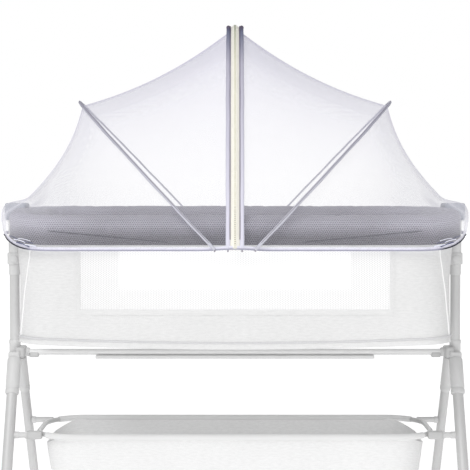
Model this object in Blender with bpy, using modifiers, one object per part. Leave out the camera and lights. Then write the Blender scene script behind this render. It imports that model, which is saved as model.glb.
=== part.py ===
"""Pop-up mosquito net on a bedside crib.

The net is a dome of two upright and two leaning hoops in fabric sleeves, with a zip between the upright
ones. Its four mesh panels hang from the sleeves, and the lower two end in a skirt that is stretched over
the crib's padded rail. The crib is built plain under it, because the net takes its shape from the rail and
the post caps.

Lengths are in metres. X runs along the crib, -Y is the side in front, and Z is up from the floor.
"""

import math

import bmesh
import bpy
import numpy as np
from mathutils import Matrix, Vector

GAP = 0.0003

# Padded rail of the crib, with the flap that hangs from its outer side
RAIL_HALF_LENGTH = 0.457
RAIL_HALF_DEPTH = 0.275
RAIL_CORNER = 0.130
RAIL_CORNER_STEPS = 7
ROLL_RADIUS = 0.02075
RAIL_TOP_NEAR = 0.733
RAIL_TOP_FAR = 0.7445
FLAP_DROP = 0.018
FLAP_THICKNESS = 0.003
FLAP_INSET = 0.002
ROLL_DIP_START = 0.15

# Hoops of the net: all four stand on the hem, near the middle of the long sides
HOOP_FOOT_HEIGHT = 0.665
HOOP_HALF_DEPTH = 0.2915
UPRIGHT_HOOP = {"near_x": 0.0165, "far_x": 0.0165, "reach": 0.463, "lean": 0.0}
LEANING_HOOP = {"near_x": 0.0390, "far_x": 0.0510, "reach": 0.418, "lean": math.radians(43.9)}
HOOP_STEPS = 20
HOOP_FIRST_ANGLE = math.radians(2.5)

# Sleeves: a ribbon folded round the rod and sewn to the panels along its inner edge
SLEEVE_RADIUS = 0.0047
SLEEVE_WALL = 0.0012
SLEEVE_FOLD_CROWN = 0.0120
SLEEVE_FOLD_FOOT = 0.0080
SLEEVE_TURNS = (-110, -55, 0, 55, 110)
ROD_RADIUS = 0.0020
ROD_SHIFT = 0.0006
ROD_INSET = 0.004
SEAM = 0.0009

# Mesh panels and their skirt
NET_THICKNESS = 0.0012
UPPER_ROWS = 8
LOWER_ROWS = 7
UPPER_PULL = 0.28
LOWER_PULL = 0.95
SETTLING_ROUNDS = 500
HEM_NEAR = 0.6630
HEM_END = 0.6800
HEM_RISE_START = 0.262
HEM_RISE_END = 0.140
SKIRT_FOOT_STAND = 0.0060
SKIRT_FOOT_BLEND = 0.14
SKIRT_END_REACH = 0.320
SKIRT_END_FADE = 0.080
SKIRT_SQUEEZE_START = 1.3
ROLL_CLEARANCE = 0.0034
CAP_SPAN = 0.033
CAP_TAUT_END = 0.170
CAP_CREST_END = 0.100

# Zip between the upright hoops
ZIP_RISE = 0.0050
ZIP_TAPE_THICKNESS = 0.0012
ZIP_CHAIN_WIDTH = 0.0034
ZIP_CHAIN_THICKNESS = 0.0026

# Crib tub under the rail
TUB_WALL = 0.003
TUB_WALL_LEAN = 0.02
TUB_TOP_TUCK = 0.0015
TUB_BOTTOM_MIDDLE = 0.471
TUB_BOTTOM_END = 0.482
WINDOW_NEAR_HALF_LENGTH = 0.302
WINDOW_FAR_HALF_LENGTH = 0.273
WINDOW_BOTTOM = 0.546
WINDOW_TOP = 0.670
WINDOW_MESH = 0.0012
TUB_SEAM = 0.00045
TUB_STOPS = (0.1, 0.2)
TUB_LEVELS = (
    {"height": 0.7010, "half_length": 0.4502, "corner": 0.1232},
    {"height": WINDOW_TOP, "half_length": 0.4360, "corner": 0.1090},
    {"height": 0.605, "half_length": 0.4290, "corner": 0.0930},
    {"height": WINDOW_BOTTOM, "half_length": 0.4275, "corner": 0.0780},
    {"height": 0.500, "half_length": 0.4268, "corner": 0.0620},
    {"height": TUB_BOTTOM_END, "half_length": 0.4262, "corner": 0.0540},
)

# Post, joint and legs at each end
POST_X = 0.471
CAP_BOTTOM = 0.716
CAP_TOP = 0.7525
CAP_INNER_X = 0.442
CAP_OUTER_X = 0.487
CAP_HALF_DEPTH = 0.030
LOCK_TOP = 0.7157
LOCK_BOTTOM = 0.599
LOCK_SLEEVE_RADIUS = 0.0123
LOCK_TAIL_RADIUS = 0.0117
LOCK_COLLAR_RADIUS = 0.0148
LOCK_COLLAR_TOP = 0.6445
LOCK_COLLAR_BOTTOM = 0.6230
LOCK_COLLAR_SLOPE = 0.0012
BUTTON_HEIGHT = 0.6338
BUTTON_RADIUS = 0.0085
BUTTON_PROUD = 0.003
POST_RADIUS = 0.0105
JOINT_TOP = 0.458
JOINT_BOTTOM = 0.423
JOINT_INNER_X = 0.444
JOINT_OUTER_X = 0.482
JOINT_HALF_DEPTH = 0.030
NEAR_LEG_TOP = Vector((0.4690, -0.0165, 0.430))
NEAR_LEG_FOOT = Vector((0.4665, -0.2380, 0.0))
NEAR_LEG_RADIUS = 0.0112
NEAR_LEG_COLLAR_RADIUS = 0.0145
NEAR_LEG_COLLAR_END = 0.351
FAR_LEG_TOP = Vector((0.4615, 0.0165, 0.430))
FAR_LEG_FOOT = Vector((0.4530, 0.2380, 0.0))
FAR_LEG_RADIUS = 0.0098
FAR_LEG_COLLAR_RADIUS = 0.0118
FAR_LEG_COLLAR_END = 0.343
FOOT_HEIGHT = 0.036
FOOT_MARGIN = 0.0042

# Crossbar and storage basket
CROSSBAR_HEIGHT = 0.434
CROSSBAR_RADIUS = 0.0064
PAD_HALF_LENGTH = 0.298
PAD_BOTTOM = 0.420
PAD_HALF_DEPTH = 0.011
BASKET_HEIGHT = 0.272
BASKET_HALF_LENGTH = 0.407
BASKET_HALF_DEPTH = 0.120
BASKET_CORNER = 0.042
BASKET_TUBE_RADIUS = 0.0045
BASKET_CLOTH_HALF_LENGTH = 0.375
BASKET_CLOTH_BOTTOM = 0.154
BASKET_CLOTH_THICKNESS = 0.002
BASKET_CORNER_STEPS = 4
BASKET_CLOTH_LEVELS = (
    {"drop": 0.0, "inward": 0.000, "corner": 0.036},
    {"drop": 0.5, "inward": 0.006, "corner": 0.040},
    {"drop": 0.9, "inward": 0.012, "corner": 0.046},
    {"drop": 1.0, "inward": 0.023, "corner": 0.044},
)
BRACKET_RADIUS = 0.0060
BRACKET_INSET = 0.0040


def start_collections():
    """Empty the scene and make the part's collection and the cutters' one."""
    for old in list(bpy.data.objects):
        bpy.data.objects.remove(old, do_unlink=True)
    made = []
    for name in ("Crib mosquito net", "Cutters"):
        group = bpy.data.collections.new(name)
        bpy.context.scene.collection.children.link(group)
        made.append(group)
    return made


PARTS, CUTTERS = start_collections()


def finish_of(name, colour, roughness, metallic=0.0, alpha=1.0):
    """A Principled material with one colour."""
    material = bpy.data.materials.get(name)
    if material is None:
        material = bpy.data.materials.new(name)
        material.use_nodes = True
        shader = material.node_tree.nodes["Principled BSDF"]
        shader.inputs["Base Color"].default_value = (*colour, 1.0)
        shader.inputs["Roughness"].default_value = roughness
        shader.inputs["Metallic"].default_value = metallic
        shader.inputs["Alpha"].default_value = alpha
        material.diffuse_color = (*colour, alpha)
    return material


def net_white():
    return finish_of("Net mesh", (0.86, 0.86, 0.93), 0.8, alpha=0.4)


def sleeve_lavender():
    return finish_of("Sleeve ribbon", (0.40, 0.42, 0.58), 0.75)


def zip_cream():
    return finish_of("Zip tape", (0.93, 0.90, 0.80), 0.7)


def rod_dark():
    return finish_of("Hoop rod", (0.06, 0.07, 0.12), 0.4)


def rail_grey():
    return finish_of("Rail cover", (0.36, 0.36, 0.40), 0.9)


def tub_linen():
    return finish_of("Tub linen", (0.76, 0.76, 0.76), 0.9)


def window_white():
    return finish_of("Window mesh", (0.88, 0.88, 0.88), 0.85, alpha=0.5)


def tube_grey():
    return finish_of("Leg tube", (0.58, 0.58, 0.58), 0.35, metallic=0.3)


def plastic_grey():
    return finish_of("Joint plastic", (0.52, 0.52, 0.53), 0.5)


def rubber_grey():
    return finish_of("Foot rubber", (0.40, 0.40, 0.40), 0.85)


def place(name, mesh, material, smooth_angle=40):
    """A named object of the part from a finished mesh."""
    mesh.name = name
    mesh.materials.clear()
    mesh.materials.append(material)
    mesh.shade_smooth()
    mesh.set_sharp_from_angle(angle=math.radians(smooth_angle))
    made = bpy.data.objects.new(name, mesh)
    PARTS.objects.link(made)
    return made


def mesh_from(shape):
    """A mesh from an edited shape, which is freed."""
    mesh = bpy.data.meshes.new("mesh")
    shape.to_mesh(mesh)
    shape.free()
    return mesh


def baked(made):
    """The object's mesh with its modifiers in it."""
    bpy.context.view_layer.update()
    seen = made.evaluated_get(bpy.context.evaluated_depsgraph_get())
    return bpy.data.meshes.new_from_object(seen)


def other_end(made, name):
    """The same piece mirrored to the other end of the crib."""
    mesh = baked(made)
    mesh.transform(Matrix.Scale(-1, 4, Vector((1, 0, 0))) @ made.matrix_world)
    mesh.flip_normals()
    return place(name, mesh, made.data.materials[0])


def both_ends(build):
    """Build a piece at the right end, named with _right, and mirror it to the left end."""
    made = build()
    return made, other_end(made, made.name.replace("_right", "_left"))


def surface(points, wrap=False):
    """An edited grid laid over rows of points; wrap joins its edges where they meet."""
    rows, columns = len(points), len(points[0])
    shape = bmesh.new()
    bmesh.ops.create_grid(shape, x_segments=columns - 1, y_segments=rows - 1, size=0.5)
    for corner in shape.verts:
        column = round((corner.co.x + 0.5) * (columns - 1))
        row = round((corner.co.y + 0.5) * (rows - 1))
        corner.co = Vector(points[row][column])
    if wrap:
        bmesh.ops.remove_doubles(shape, verts=shape.verts[:], dist=1e-5)
    return shape


def thicken(made, thickness):
    """Give an open surface its thickness, half to each side."""
    shell = made.modifiers.new("Thickness", "SOLIDIFY")
    shell.thickness = thickness
    shell.offset = 0.0
    shell.use_even_offset = True
    return made


def hoop_angles():
    """Angles at which every hoop and every panel edge has a point, from the near foot to the far foot."""
    inner = np.linspace(HOOP_FIRST_ANGLE, math.pi - HOOP_FIRST_ANGLE, HOOP_STEPS + 1)
    return np.concatenate([[0.0], inner, [math.pi]])


def unit(vectors):
    return vectors / np.linalg.norm(vectors, axis=-1, keepdims=True)


def hoop_line(hoop, grow=0.0):
    """Centre line of half an elliptic hoop that leans out from its feet; grow makes it larger all round."""
    angles = hoop_angles()
    rise = (hoop["reach"] + grow) * np.sin(angles)
    depth = -np.cos(angles)
    foot_x = (hoop["near_x"] + hoop["far_x"]) / 2 + (hoop["far_x"] - hoop["near_x"]) / 2 * depth
    return np.stack([foot_x + rise * math.sin(hoop["lean"]), (HOOP_HALF_DEPTH + grow) * depth,
                     HOOP_FOOT_HEIGHT + rise * math.cos(hoop["lean"])], axis=1)


def hoop_outward(hoop):
    """Direction straight out of the hoop at each of its points, in the hoop's own plane."""
    angles = hoop_angles()
    depth, rise = -np.cos(angles) / HOOP_HALF_DEPTH, np.sin(angles) / hoop["reach"]
    return unit(np.stack([rise * math.sin(hoop["lean"]), depth, rise * math.cos(hoop["lean"])], axis=1))


def seam_line(hoop):
    """Inner edge of the hoop's sleeve, where the panels are sewn on."""
    fold = SLEEVE_FOLD_FOOT + (SLEEVE_FOLD_CROWN - SLEEVE_FOLD_FOOT) * np.sin(hoop_angles())[:, None]
    return hoop_line(hoop) - hoop_outward(hoop) * fold


def beside(line, towards):
    """The line moved a seam's width towards the other line."""
    tangent = unit(np.gradient(line, axis=0))
    pull = towards - line
    pull = pull - (pull * tangent).sum(1, keepdims=True) * tangent
    return line + unit(pull) * SEAM


def eased(share):
    share = np.clip(share, 0.0, 1.0)
    return share * share * (3 - 2 * share)


def roll_centre(y):
    """Height of the roll's middle: the near side sits a little lower than the ends and the far side."""
    drop = eased((-y - ROLL_DIP_START) / (RAIL_HALF_DEPTH - ROLL_RADIUS - ROLL_DIP_START))
    return RAIL_TOP_FAR - (RAIL_TOP_FAR - RAIL_TOP_NEAR) * drop - ROLL_RADIUS


def off_roll(cloth):
    """Cloth points moved away from the middle of the rail's roll where they come too near to it."""
    beyond = np.abs(cloth[..., :2]) - (np.array([RAIL_HALF_LENGTH, RAIL_HALF_DEPTH]) - RAIL_CORNER)
    outer = np.maximum(beyond, 0)
    reach = np.linalg.norm(outer, axis=-1)
    out = reach + np.minimum(beyond.max(-1), 0) - RAIL_CORNER + ROLL_RADIUS
    up = cloth[..., 2] - roll_centre(cloth[..., 1])
    away = np.hypot(out, up)
    push = np.maximum(ROLL_RADIUS + ROLL_CLEARANCE - away, 0) / away
    sideways = outer / np.maximum(reach, 1e-9)[..., None] * np.sign(cloth[..., :2])
    return cloth + np.concatenate([sideways * (out * push)[..., None], (up * push)[..., None]], axis=-1)


def stretched(points, pull):
    """Cloth drawn tight between the fixed rim of a grid of points, and held off the rail's roll.

    The cloth is tighter from sleeve to sleeve than along them; pull is the share of that tension along them.
    """
    cloth = np.array(points, float)
    across = np.linalg.norm(np.diff(cloth, axis=1), axis=2).mean(1)
    along = np.linalg.norm(np.diff(cloth, axis=0), axis=2)
    across_pull = (1 / across[1:-1] ** 2)[:, None, None]
    along_pull = (pull / ((along[1:, 1:-1] + along[:-1, 1:-1]) / 2) ** 2)[:, :, None]
    total_pull = 2 * (across_pull + along_pull)
    for _ in range(SETTLING_ROUNDS):
        sides = cloth[1:-1, :-2] + cloth[1:-1, 2:]
        ends = cloth[:-2, 1:-1] + cloth[2:, 1:-1]
        cloth[1:-1, 1:-1] = off_roll((across_pull * sides + along_pull * ends) / total_pull)
    return cloth


def between(first, last, count):
    """A grid of straight lines from one edge to the other, with that many intervals."""
    share = np.linspace(0, 1, count + 1)[None, :, None]
    return first[:, None, :] * (1 - share) + last[:, None, :] * share


def upper_panel():
    """Mesh gore between the upright and the leaning sleeve."""
    upright, leaning = seam_line(UPRIGHT_HOOP), seam_line(LEANING_HOOP)
    cloth = stretched(between(beside(upright, leaning), beside(leaning, upright), UPPER_ROWS), UPPER_PULL)
    made = place("net_upper_panel_right", mesh_from(surface(cloth)), net_white(), 60)
    return thicken(made, NET_THICKNESS)


def rail_length():
    """Length of half the rail's outline, from the middle of the near side to the middle of the far one."""
    straights = 2 * (RAIL_HALF_LENGTH - RAIL_CORNER) + 2 * (RAIL_HALF_DEPTH - RAIL_CORNER)
    return straights + math.pi * RAIL_CORNER


def rail_outline(along):
    """Point and outward direction on the rail's right half, walked from the middle of the near side."""
    side = RAIL_HALF_LENGTH - RAIL_CORNER
    end = RAIL_HALF_DEPTH - RAIL_CORNER
    arc = RAIL_CORNER * math.pi / 2
    if along < side:
        return np.array([along, -RAIL_HALF_DEPTH]), np.array([0.0, -1.0])
    along -= side
    if along < arc:
        out = np.array([math.sin(along / RAIL_CORNER), -math.cos(along / RAIL_CORNER)])
        return np.array([side, -end]) + RAIL_CORNER * out, out
    along -= arc
    if along < 2 * end:
        return np.array([RAIL_HALF_LENGTH, along - end]), np.array([1.0, 0.0])
    along -= 2 * end
    if along < arc:
        out = np.array([math.cos(along / RAIL_CORNER), math.sin(along / RAIL_CORNER)])
        return np.array([side, end]) + RAIL_CORNER * out, out
    return np.array([side - (along - arc), RAIL_HALF_DEPTH]), np.array([0.0, 1.0])


def hem_height(y):
    """Height of the hem: lowest along the near side, higher round the ends and the far side."""
    return HEM_END - (HEM_END - HEM_NEAR) * eased((-y - HEM_RISE_END) / (HEM_RISE_START - HEM_RISE_END))


# Rows of the skirt from the rail's shoulder to the hem. Each has its distance outside the rail's outline on
# the long sides, round the ends and over the post cap, and its height over the roll's middle at the same
# three. The hem row has its own height instead.
SKIRT_ROWS = (
    {"side": -0.0035, "end": -0.0135, "cap": -0.0150, "rise": 0.0160, "end_rise": 0.0226, "cap_rise": 0.0335},
    {"side": 0.0012, "end": 0.0045, "cap": 0.0330, "rise": 0.0090, "end_rise": 0.0125, "cap_rise": 0.0325},
    {"side": 0.0014, "end": 0.0085, "cap": 0.0385, "rise": 0.0000, "end_rise": 0.0000, "cap_rise": 0.0040},
    {"side": 0.0014, "end": 0.0075, "cap": 0.0345, "rise": -0.0270, "end_rise": -0.0280, "cap_rise": -0.0270},
    {"side": 0.0006, "end": 0.0045, "cap": 0.0290, "rise": None, "end_rise": None, "cap_rise": None},
)


def skirt_point(along, row, foot_share, room):
    """A point of the skirt: along is the way round the rail, foot_share how near the leaning hoop's foot.

    room is the height from the hem to the sleeve, which squeezes the rows together near the foot.
    """
    place_on_rail, out = rail_outline(along)
    y = place_on_rail[1]
    from_middle = abs(rail_length() / 2 - along)
    end = min(max((SKIRT_END_REACH + SKIRT_END_FADE - from_middle) / SKIRT_END_FADE, 0.0), 1.0)
    at_end = out[0] > 0.5
    taut = min(max((CAP_TAUT_END - abs(y)) / (CAP_TAUT_END - CAP_SPAN), 0.0), 1.0) if at_end else 0.0
    crest = min(max((CAP_CREST_END - abs(y)) / (CAP_CREST_END - CAP_SPAN), 0.0), 1.0) if at_end else 0.0
    offset = row["side"] + (row["end"] - row["side"]) * end
    if row["cap"] > row["end"]:
        offset = max(offset, row["side"] + (row["cap"] - row["side"]) * taut)
    else:
        offset = offset + (row["cap"] - offset) * crest
    offset = offset + (SKIRT_FOOT_STAND - offset) * foot_share
    hem = hem_height(y)
    if row["rise"] is None:
        height = hem
    else:
        rise = row["rise"] + (row["end_rise"] - row["rise"]) * end
        height = roll_centre(y) + rise + (row["cap_rise"] - rise) * crest
        full_room = SKIRT_SQUEEZE_START * (roll_centre(y) + SKIRT_ROWS[0]["rise"] - hem)
        height = hem + (height - hem) * min(1.0, room / full_room)
        clear = ROLL_RADIUS + ROLL_CLEARANCE
        over_middle = min(abs(height - roll_centre(y)), clear)
        offset = max(offset, math.sqrt(clear**2 - over_middle**2) - ROLL_RADIUS)
    x, y = place_on_rail + out * offset
    return np.array([x, y, height])


def halved(line):
    """The line with a point added midway between each two."""
    longer = np.empty((2 * len(line) - 1, 3))
    longer[::2] = line
    longer[1::2] = (line[1:] + line[:-1]) / 2
    return longer


def lower_panel():
    """Mesh panel from the leaning sleeve down over the rail, with the skirt and its hem."""
    seam = seam_line(LEANING_HOOP)
    lean = LEANING_HOOP["lean"]
    edge = halved(beside(seam, seam + np.array([math.cos(lean), 0, -math.sin(lean)]))[1:-1])
    walked = np.concatenate([[0], np.cumsum(np.linalg.norm(np.diff(edge, axis=0), axis=1))])
    first, last = edge[0][0], rail_length() - edge[-1][0]
    way = first + walked / walked[-1] * (last - first)
    rows = []
    for row in SKIRT_ROWS:
        line = []
        for along, top in zip(way, edge):
            from_foot = min(along - first, last - along)
            foot_share = max(0.0, 1 - from_foot / SKIRT_FOOT_BLEND) ** 2
            line.append(skirt_point(along, row, foot_share, top[2] - hem_height(top[1])))
        rows.append(np.array(line))
    cloth = stretched(between(edge, rows[0], LOWER_ROWS), LOWER_PULL)
    cloth = np.concatenate([cloth, np.stack(rows[1:], axis=1)], axis=1)
    made = place("net_lower_panel_right", mesh_from(surface(cloth)), net_white(), 60)
    return thicken(made, NET_THICKNESS)


def poly_curve(name, points, radius, resolution, caps, closed=False):
    """A tube along the points, as a curve object."""
    curve = bpy.data.curves.new(name, "CURVE")
    curve.dimensions = "3D"
    curve.bevel_depth = radius
    curve.bevel_resolution = resolution
    curve.use_fill_caps = caps
    spline = curve.splines.new("POLY")
    spline.points.add(len(points) - 1)
    for point, place_of_it in zip(spline.points, points):
        point.co = (*place_of_it, 1.0)
    spline.use_cyclic_u = closed
    made = bpy.data.objects.new(name, curve)
    PARTS.objects.link(made)
    return made


def tube_mesh(name, points, radius, resolution, caps, closed=False):
    """The same tube as a mesh, with its caps welded on."""
    guide = poly_curve(name, points, radius, resolution, caps, closed)
    mesh = baked(guide)
    bpy.data.objects.remove(guide, do_unlink=True)
    shape = bmesh.new()
    shape.from_mesh(mesh)
    bmesh.ops.remove_doubles(shape, verts=shape.verts[:], dist=1e-5)
    bmesh.ops.recalc_face_normals(shape, faces=shape.faces[:])
    return mesh_from(shape)


def sleeve(name, hoop):
    """Ribbon tunnel round a hoop's rod, drop-shaped in section and open at its two feet."""
    line, outward = hoop_line(hoop), hoop_outward(hoop)
    sideways = np.cross(unit(np.gradient(line, axis=0)), outward)
    rows = []
    for middle, out, side, fold in zip(line, outward, sideways, seam_line(hoop)):
        row = [middle + SLEEVE_RADIUS * (math.cos(turn) * out + math.sin(turn) * side)
               for turn in map(math.radians, SLEEVE_TURNS)]
        rows.append([fold, *row, fold])
    shape = surface(rows, wrap=True)
    bmesh.ops.recalc_face_normals(shape, faces=shape.faces[:])
    made = place(name, mesh_from(shape), sleeve_lavender(), 60)
    shell = made.modifiers.new("Wall", "SOLIDIFY")
    shell.thickness = SLEEVE_WALL
    shell.offset = -1.0
    return made


def rod(name, hoop):
    """Springy rod that lies against the outer side of its sleeve, a little shorter than it."""
    line = hoop_line(hoop, ROD_SHIFT)
    inset = np.array(line)
    for end, neighbour in ((0, 1), (-1, -2)):
        inset[end] = line[end] + unit(line[neighbour] - line[end]) * ROD_INSET
    return place(name, tube_mesh(name, inset, ROD_RADIUS, 0, True), rod_dark(), 60)


def zip_tape():
    """Right half of the zip's tape, from the upright sleeve to the chain."""
    outer, inner = hoop_line(UPRIGHT_HOOP), hoop_line(UPRIGHT_HOOP, ZIP_RISE)
    outer[:, 0] = UPRIGHT_HOOP["near_x"] - SLEEVE_RADIUS - GAP
    inner[:, 0] = ZIP_CHAIN_WIDTH / 2 + GAP
    made = place("zip_tape_right", mesh_from(surface(between(inner, outer, 1))), zip_cream(), 60)
    return thicken(made, ZIP_TAPE_THICKNESS)


def zip_chain():
    """Coil of the zip along the ridge between its tapes."""
    line = hoop_line(UPRIGHT_HOOP, ZIP_RISE)
    left, right = line.copy(), line.copy()
    left[:, 0] = -ZIP_CHAIN_WIDTH / 2
    right[:, 0] = ZIP_CHAIN_WIDTH / 2
    made = place("zip_chain", mesh_from(surface(between(left, right, 1))), zip_cream(), 60)
    return thicken(made, ZIP_CHAIN_THICKNESS)


def rail_section():
    """Outline of the rail's cover, a roll with a flap below it, as (out, up) from the roll's middle."""
    radius = ROLL_RADIUS
    outer = radius - FLAP_INSET
    inner = outer - FLAP_THICKNESS
    bottom = -radius - FLAP_DROP
    root_outer = -math.sqrt(radius**2 - outer**2) - 0.002
    root_inner = -math.sqrt(radius**2 - inner**2) - 0.001
    turns = [math.radians(turn) for turn in range(0, 301, 30)]
    section = [(radius * math.cos(turn), radius * math.sin(turn)) for turn in turns]
    section += [(inner, root_inner), (inner, bottom), (outer, bottom), (outer, root_outer)]
    return section


def rail_cover():
    """Padded cover all round the rail."""
    side = RAIL_HALF_LENGTH - RAIL_CORNER
    arc = RAIL_CORNER * math.pi / 2
    end = 2 * (RAIL_HALF_DEPTH - RAIL_CORNER)
    turns = [arc * step / RAIL_CORNER_STEPS for step in range(RAIL_CORNER_STEPS + 1)]
    near_ways = [side + turn for turn in turns]
    far_ways = [side + arc + end + turn for turn in turns]
    section = rail_section()
    half = [rail_outline(way) for way in [0.0] + near_ways + far_ways + [rail_length()]]
    left = [(spot * (-1, 1), out * (-1, 1)) for spot, out in reversed(half[1:-1])]
    rows = []
    for spot, out in half + left + half[:1]:
        middle = spot - out * ROLL_RADIUS
        height = roll_centre(middle[1])
        row = [(*(middle + out * outward), height + up) for outward, up in section]
        rows.append(row + row[:1])
    shape = surface(rows, wrap=True)
    bmesh.ops.recalc_face_normals(shape, faces=shape.faces[:])
    return place("rail_cover", mesh_from(shape), rail_grey(), 50)


def rounded_corner(half_x, half_y, corner, steps):
    """Plan points round the front right corner of a rounded rectangle."""
    turns = [math.pi / 2 * step / steps for step in range(steps + 1)]
    return [(half_x - corner + corner * math.sin(turn), -half_y + corner - corner * math.cos(turn)) for turn in turns]


def rounded_ring(half_x, half_y, corner, steps):
    """Ring of plan points of a rounded rectangle, from the middle of its front side."""
    quarter = rounded_corner(half_x, half_y, corner, steps)
    half = [(0.0, -half_y)] + quarter + [(x, -y) for x, y in reversed(quarter)] + [(0.0, half_y)]
    left = [(-x, y) for x, y in reversed(half[1:-1])]
    return half + left


def tub_half_depth(height):
    """Half the tub's depth at a height: the long walls lean in a little below the windows' top."""
    lean = TUB_WALL_LEAN * (WINDOW_TOP - min(height, WINDOW_TOP))
    return RAIL_HALF_DEPTH - FLAP_INSET - FLAP_THICKNESS - GAP - TUB_WALL / 2 - lean


def tub_bottom(x):
    """Height of the tub's lower edge, which sags between its ends."""
    return TUB_BOTTOM_MIDDLE + (TUB_BOTTOM_END - TUB_BOTTOM_MIDDLE) * (x / TUB_LEVELS[-1]["half_length"]) ** 2


def tub_wall_row(level, plan):
    """Points of a wall at one of the tub's levels, over its plan points."""
    if level is TUB_LEVELS[0]:
        return [(x, y, roll_centre(y) - ROLL_RADIUS + TUB_TOP_TUCK) for x, y in plan]
    if level is TUB_LEVELS[-1]:
        return [(x, y, tub_bottom(x)) for x, y in plan]
    return [(x, y, level["height"]) for x, y in plan]


def tub_side(name, side, window_half_length):
    """Long wall with its window cut out; side is -1 in the front and 1 at the back."""
    half_stops = TUB_STOPS + (window_half_length,)
    rows = []
    for level in TUB_LEVELS:
        end = level["half_length"] - level["corner"] - TUB_SEAM
        y = side * tub_half_depth(level["height"])
        right = [(stop, y) for stop in half_stops + (end,)]
        left = [(-x, y) for x, y in reversed(right)]
        rows.append(tub_wall_row(level, left + [(0.0, y)] + right))
    shape = surface(rows)
    window = []
    for face in shape.faces:
        middle = face.calc_center_median()
        if WINDOW_BOTTOM < middle.z < WINDOW_TOP and abs(middle.x) < window_half_length:
            window.append(face)
    bmesh.ops.delete(shape, geom=window, context="FACES")
    made = place(name, mesh_from(shape), tub_linen(), 40)
    return thicken(made, TUB_WALL)


def tub_end():
    """End wall with its two rounded corners."""
    rows = []
    for level in TUB_LEVELS:
        half_depth = tub_half_depth(level["height"])
        near = rounded_corner(level["half_length"], half_depth, level["corner"], RAIL_CORNER_STEPS)
        far = [(x, -y) for x, y in reversed(near)]
        rows.append(tub_wall_row(level, near + far))
    made = place("tub_end_right", mesh_from(surface(rows)), tub_linen(), 40)
    return thicken(made, TUB_WALL)


def tub_floor():
    """Floor between the walls, level with their lower edges."""
    lowest = TUB_LEVELS[-1]
    inset = TUB_WALL / 2 + GAP
    half_depth = tub_half_depth(lowest["height"]) - inset
    corner = rounded_corner(lowest["half_length"] - inset, half_depth, lowest["corner"], RAIL_CORNER_STEPS)
    right = [(stop, -half_depth) for stop in TUB_STOPS] + corner
    left = [(-x, y) for x, y in reversed(right)]
    rows = []
    for x, y in left + [(0.0, -half_depth)] + right:
        height = tub_bottom(x) + TUB_WALL / 2
        rows.append([(x, y, height), (x, -y, height)])
    made = place("tub_floor", mesh_from(surface(rows)), tub_linen(), 40)
    return thicken(made, TUB_WALL)


def window_mesh(name, side, half_length):
    """Flat mesh panel in a window; side is -1 in the front and 1 in the back."""
    half = half_length - GAP
    rows = []
    for height in (WINDOW_BOTTOM + GAP, WINDOW_TOP - GAP):
        depth = side * tub_half_depth(height)
        rows.append([(-half, depth, height), (0.0, depth, height), (half, depth, height)])
    made = place(name, mesh_from(surface(rows)), window_white())
    return thicken(made, WINDOW_MESH)


def turned(name, profile, steps, material):
    """A piece spun about Z from a profile of (radius, height) pairs that runs down its outer side."""
    shape = bmesh.new()
    corners = [shape.verts.new((radius, 0, height)) for radius, height in profile]
    for first, second in zip(corners, corners[1:]):
        shape.edges.new((first, second))
    made = place(name, mesh_from(shape), material)
    spin = made.modifiers.new("Turn", "SCREW")
    spin.steps = steps
    spin.render_steps = steps
    spin.use_merge_vertices = True
    spin.merge_threshold = 0.0001
    spin.use_smooth_shade = True
    return made


def block(name, low, high, round_off, material):
    """A box between two corners with its edges rounded."""
    shape = bmesh.new()
    bmesh.ops.create_cube(shape, size=1.0)
    low, high = Vector(low), Vector(high)
    for corner in shape.verts:
        corner.co = Vector(((corner.co[k] + 0.5) * (high[k] - low[k]) + low[k] for k in range(3)))
    bmesh.ops.bevel(shape, geom=shape.edges[:], offset=round_off, segments=2, profile=0.5, affect="EDGES")
    return place(name, mesh_from(shape), material)


def cylinder_shape(start, end, radius, sides):
    """An edited solid cylinder from start to end."""
    axis = end - start
    turn = axis.to_track_quat("Z", "Y").to_matrix().to_4x4()
    shape = bmesh.new()
    bmesh.ops.create_cone(shape, cap_ends=True, segments=sides, radius1=radius, radius2=radius,
                          depth=axis.length, matrix=Matrix.Translation((start + end) / 2) @ turn)
    return shape


def cut_flat(shape, height, keep_below):
    """Cut a shape level at a height, keep one side and close it."""
    normal = Vector((0, 0, 1 if keep_below else -1))
    everything = shape.verts[:] + shape.edges[:] + shape.faces[:]
    bmesh.ops.bisect_plane(shape, geom=everything, dist=1e-6, plane_co=Vector((0, 0, height)),
                           plane_no=normal, clear_outer=True)
    rim = [edge for edge in shape.edges if edge.is_boundary]
    bmesh.ops.contextual_create(shape, geom=rim)
    bmesh.ops.recalc_face_normals(shape, faces=shape.faces[:])


def post_cap():
    """Housing on top of the post, hollowed to sit over the end rail's roll."""
    made = block("post_cap_right", (CAP_INNER_X, -CAP_HALF_DEPTH, CAP_BOTTOM),
                 (CAP_OUTER_X, CAP_HALF_DEPTH, CAP_TOP), 0.005, plastic_grey())
    middle = Vector((RAIL_HALF_LENGTH - ROLL_RADIUS, 0, roll_centre(0)))
    reach = Vector((0, CAP_HALF_DEPTH + 0.02, 0))
    roll = cylinder_shape(middle - reach, middle + reach, ROLL_RADIUS + GAP, 24)
    cutter = bpy.data.objects.new("roll_space_right", mesh_from(roll))
    CUTTERS.objects.link(cutter)
    cutter.hide_render = True
    cutter.display_type = "WIRE"
    cut = made.modifiers.new("Roll space", "BOOLEAN")
    cut.operation = "DIFFERENCE"
    cut.solver = "EXACT"
    cut.object = cutter
    return made


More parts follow.
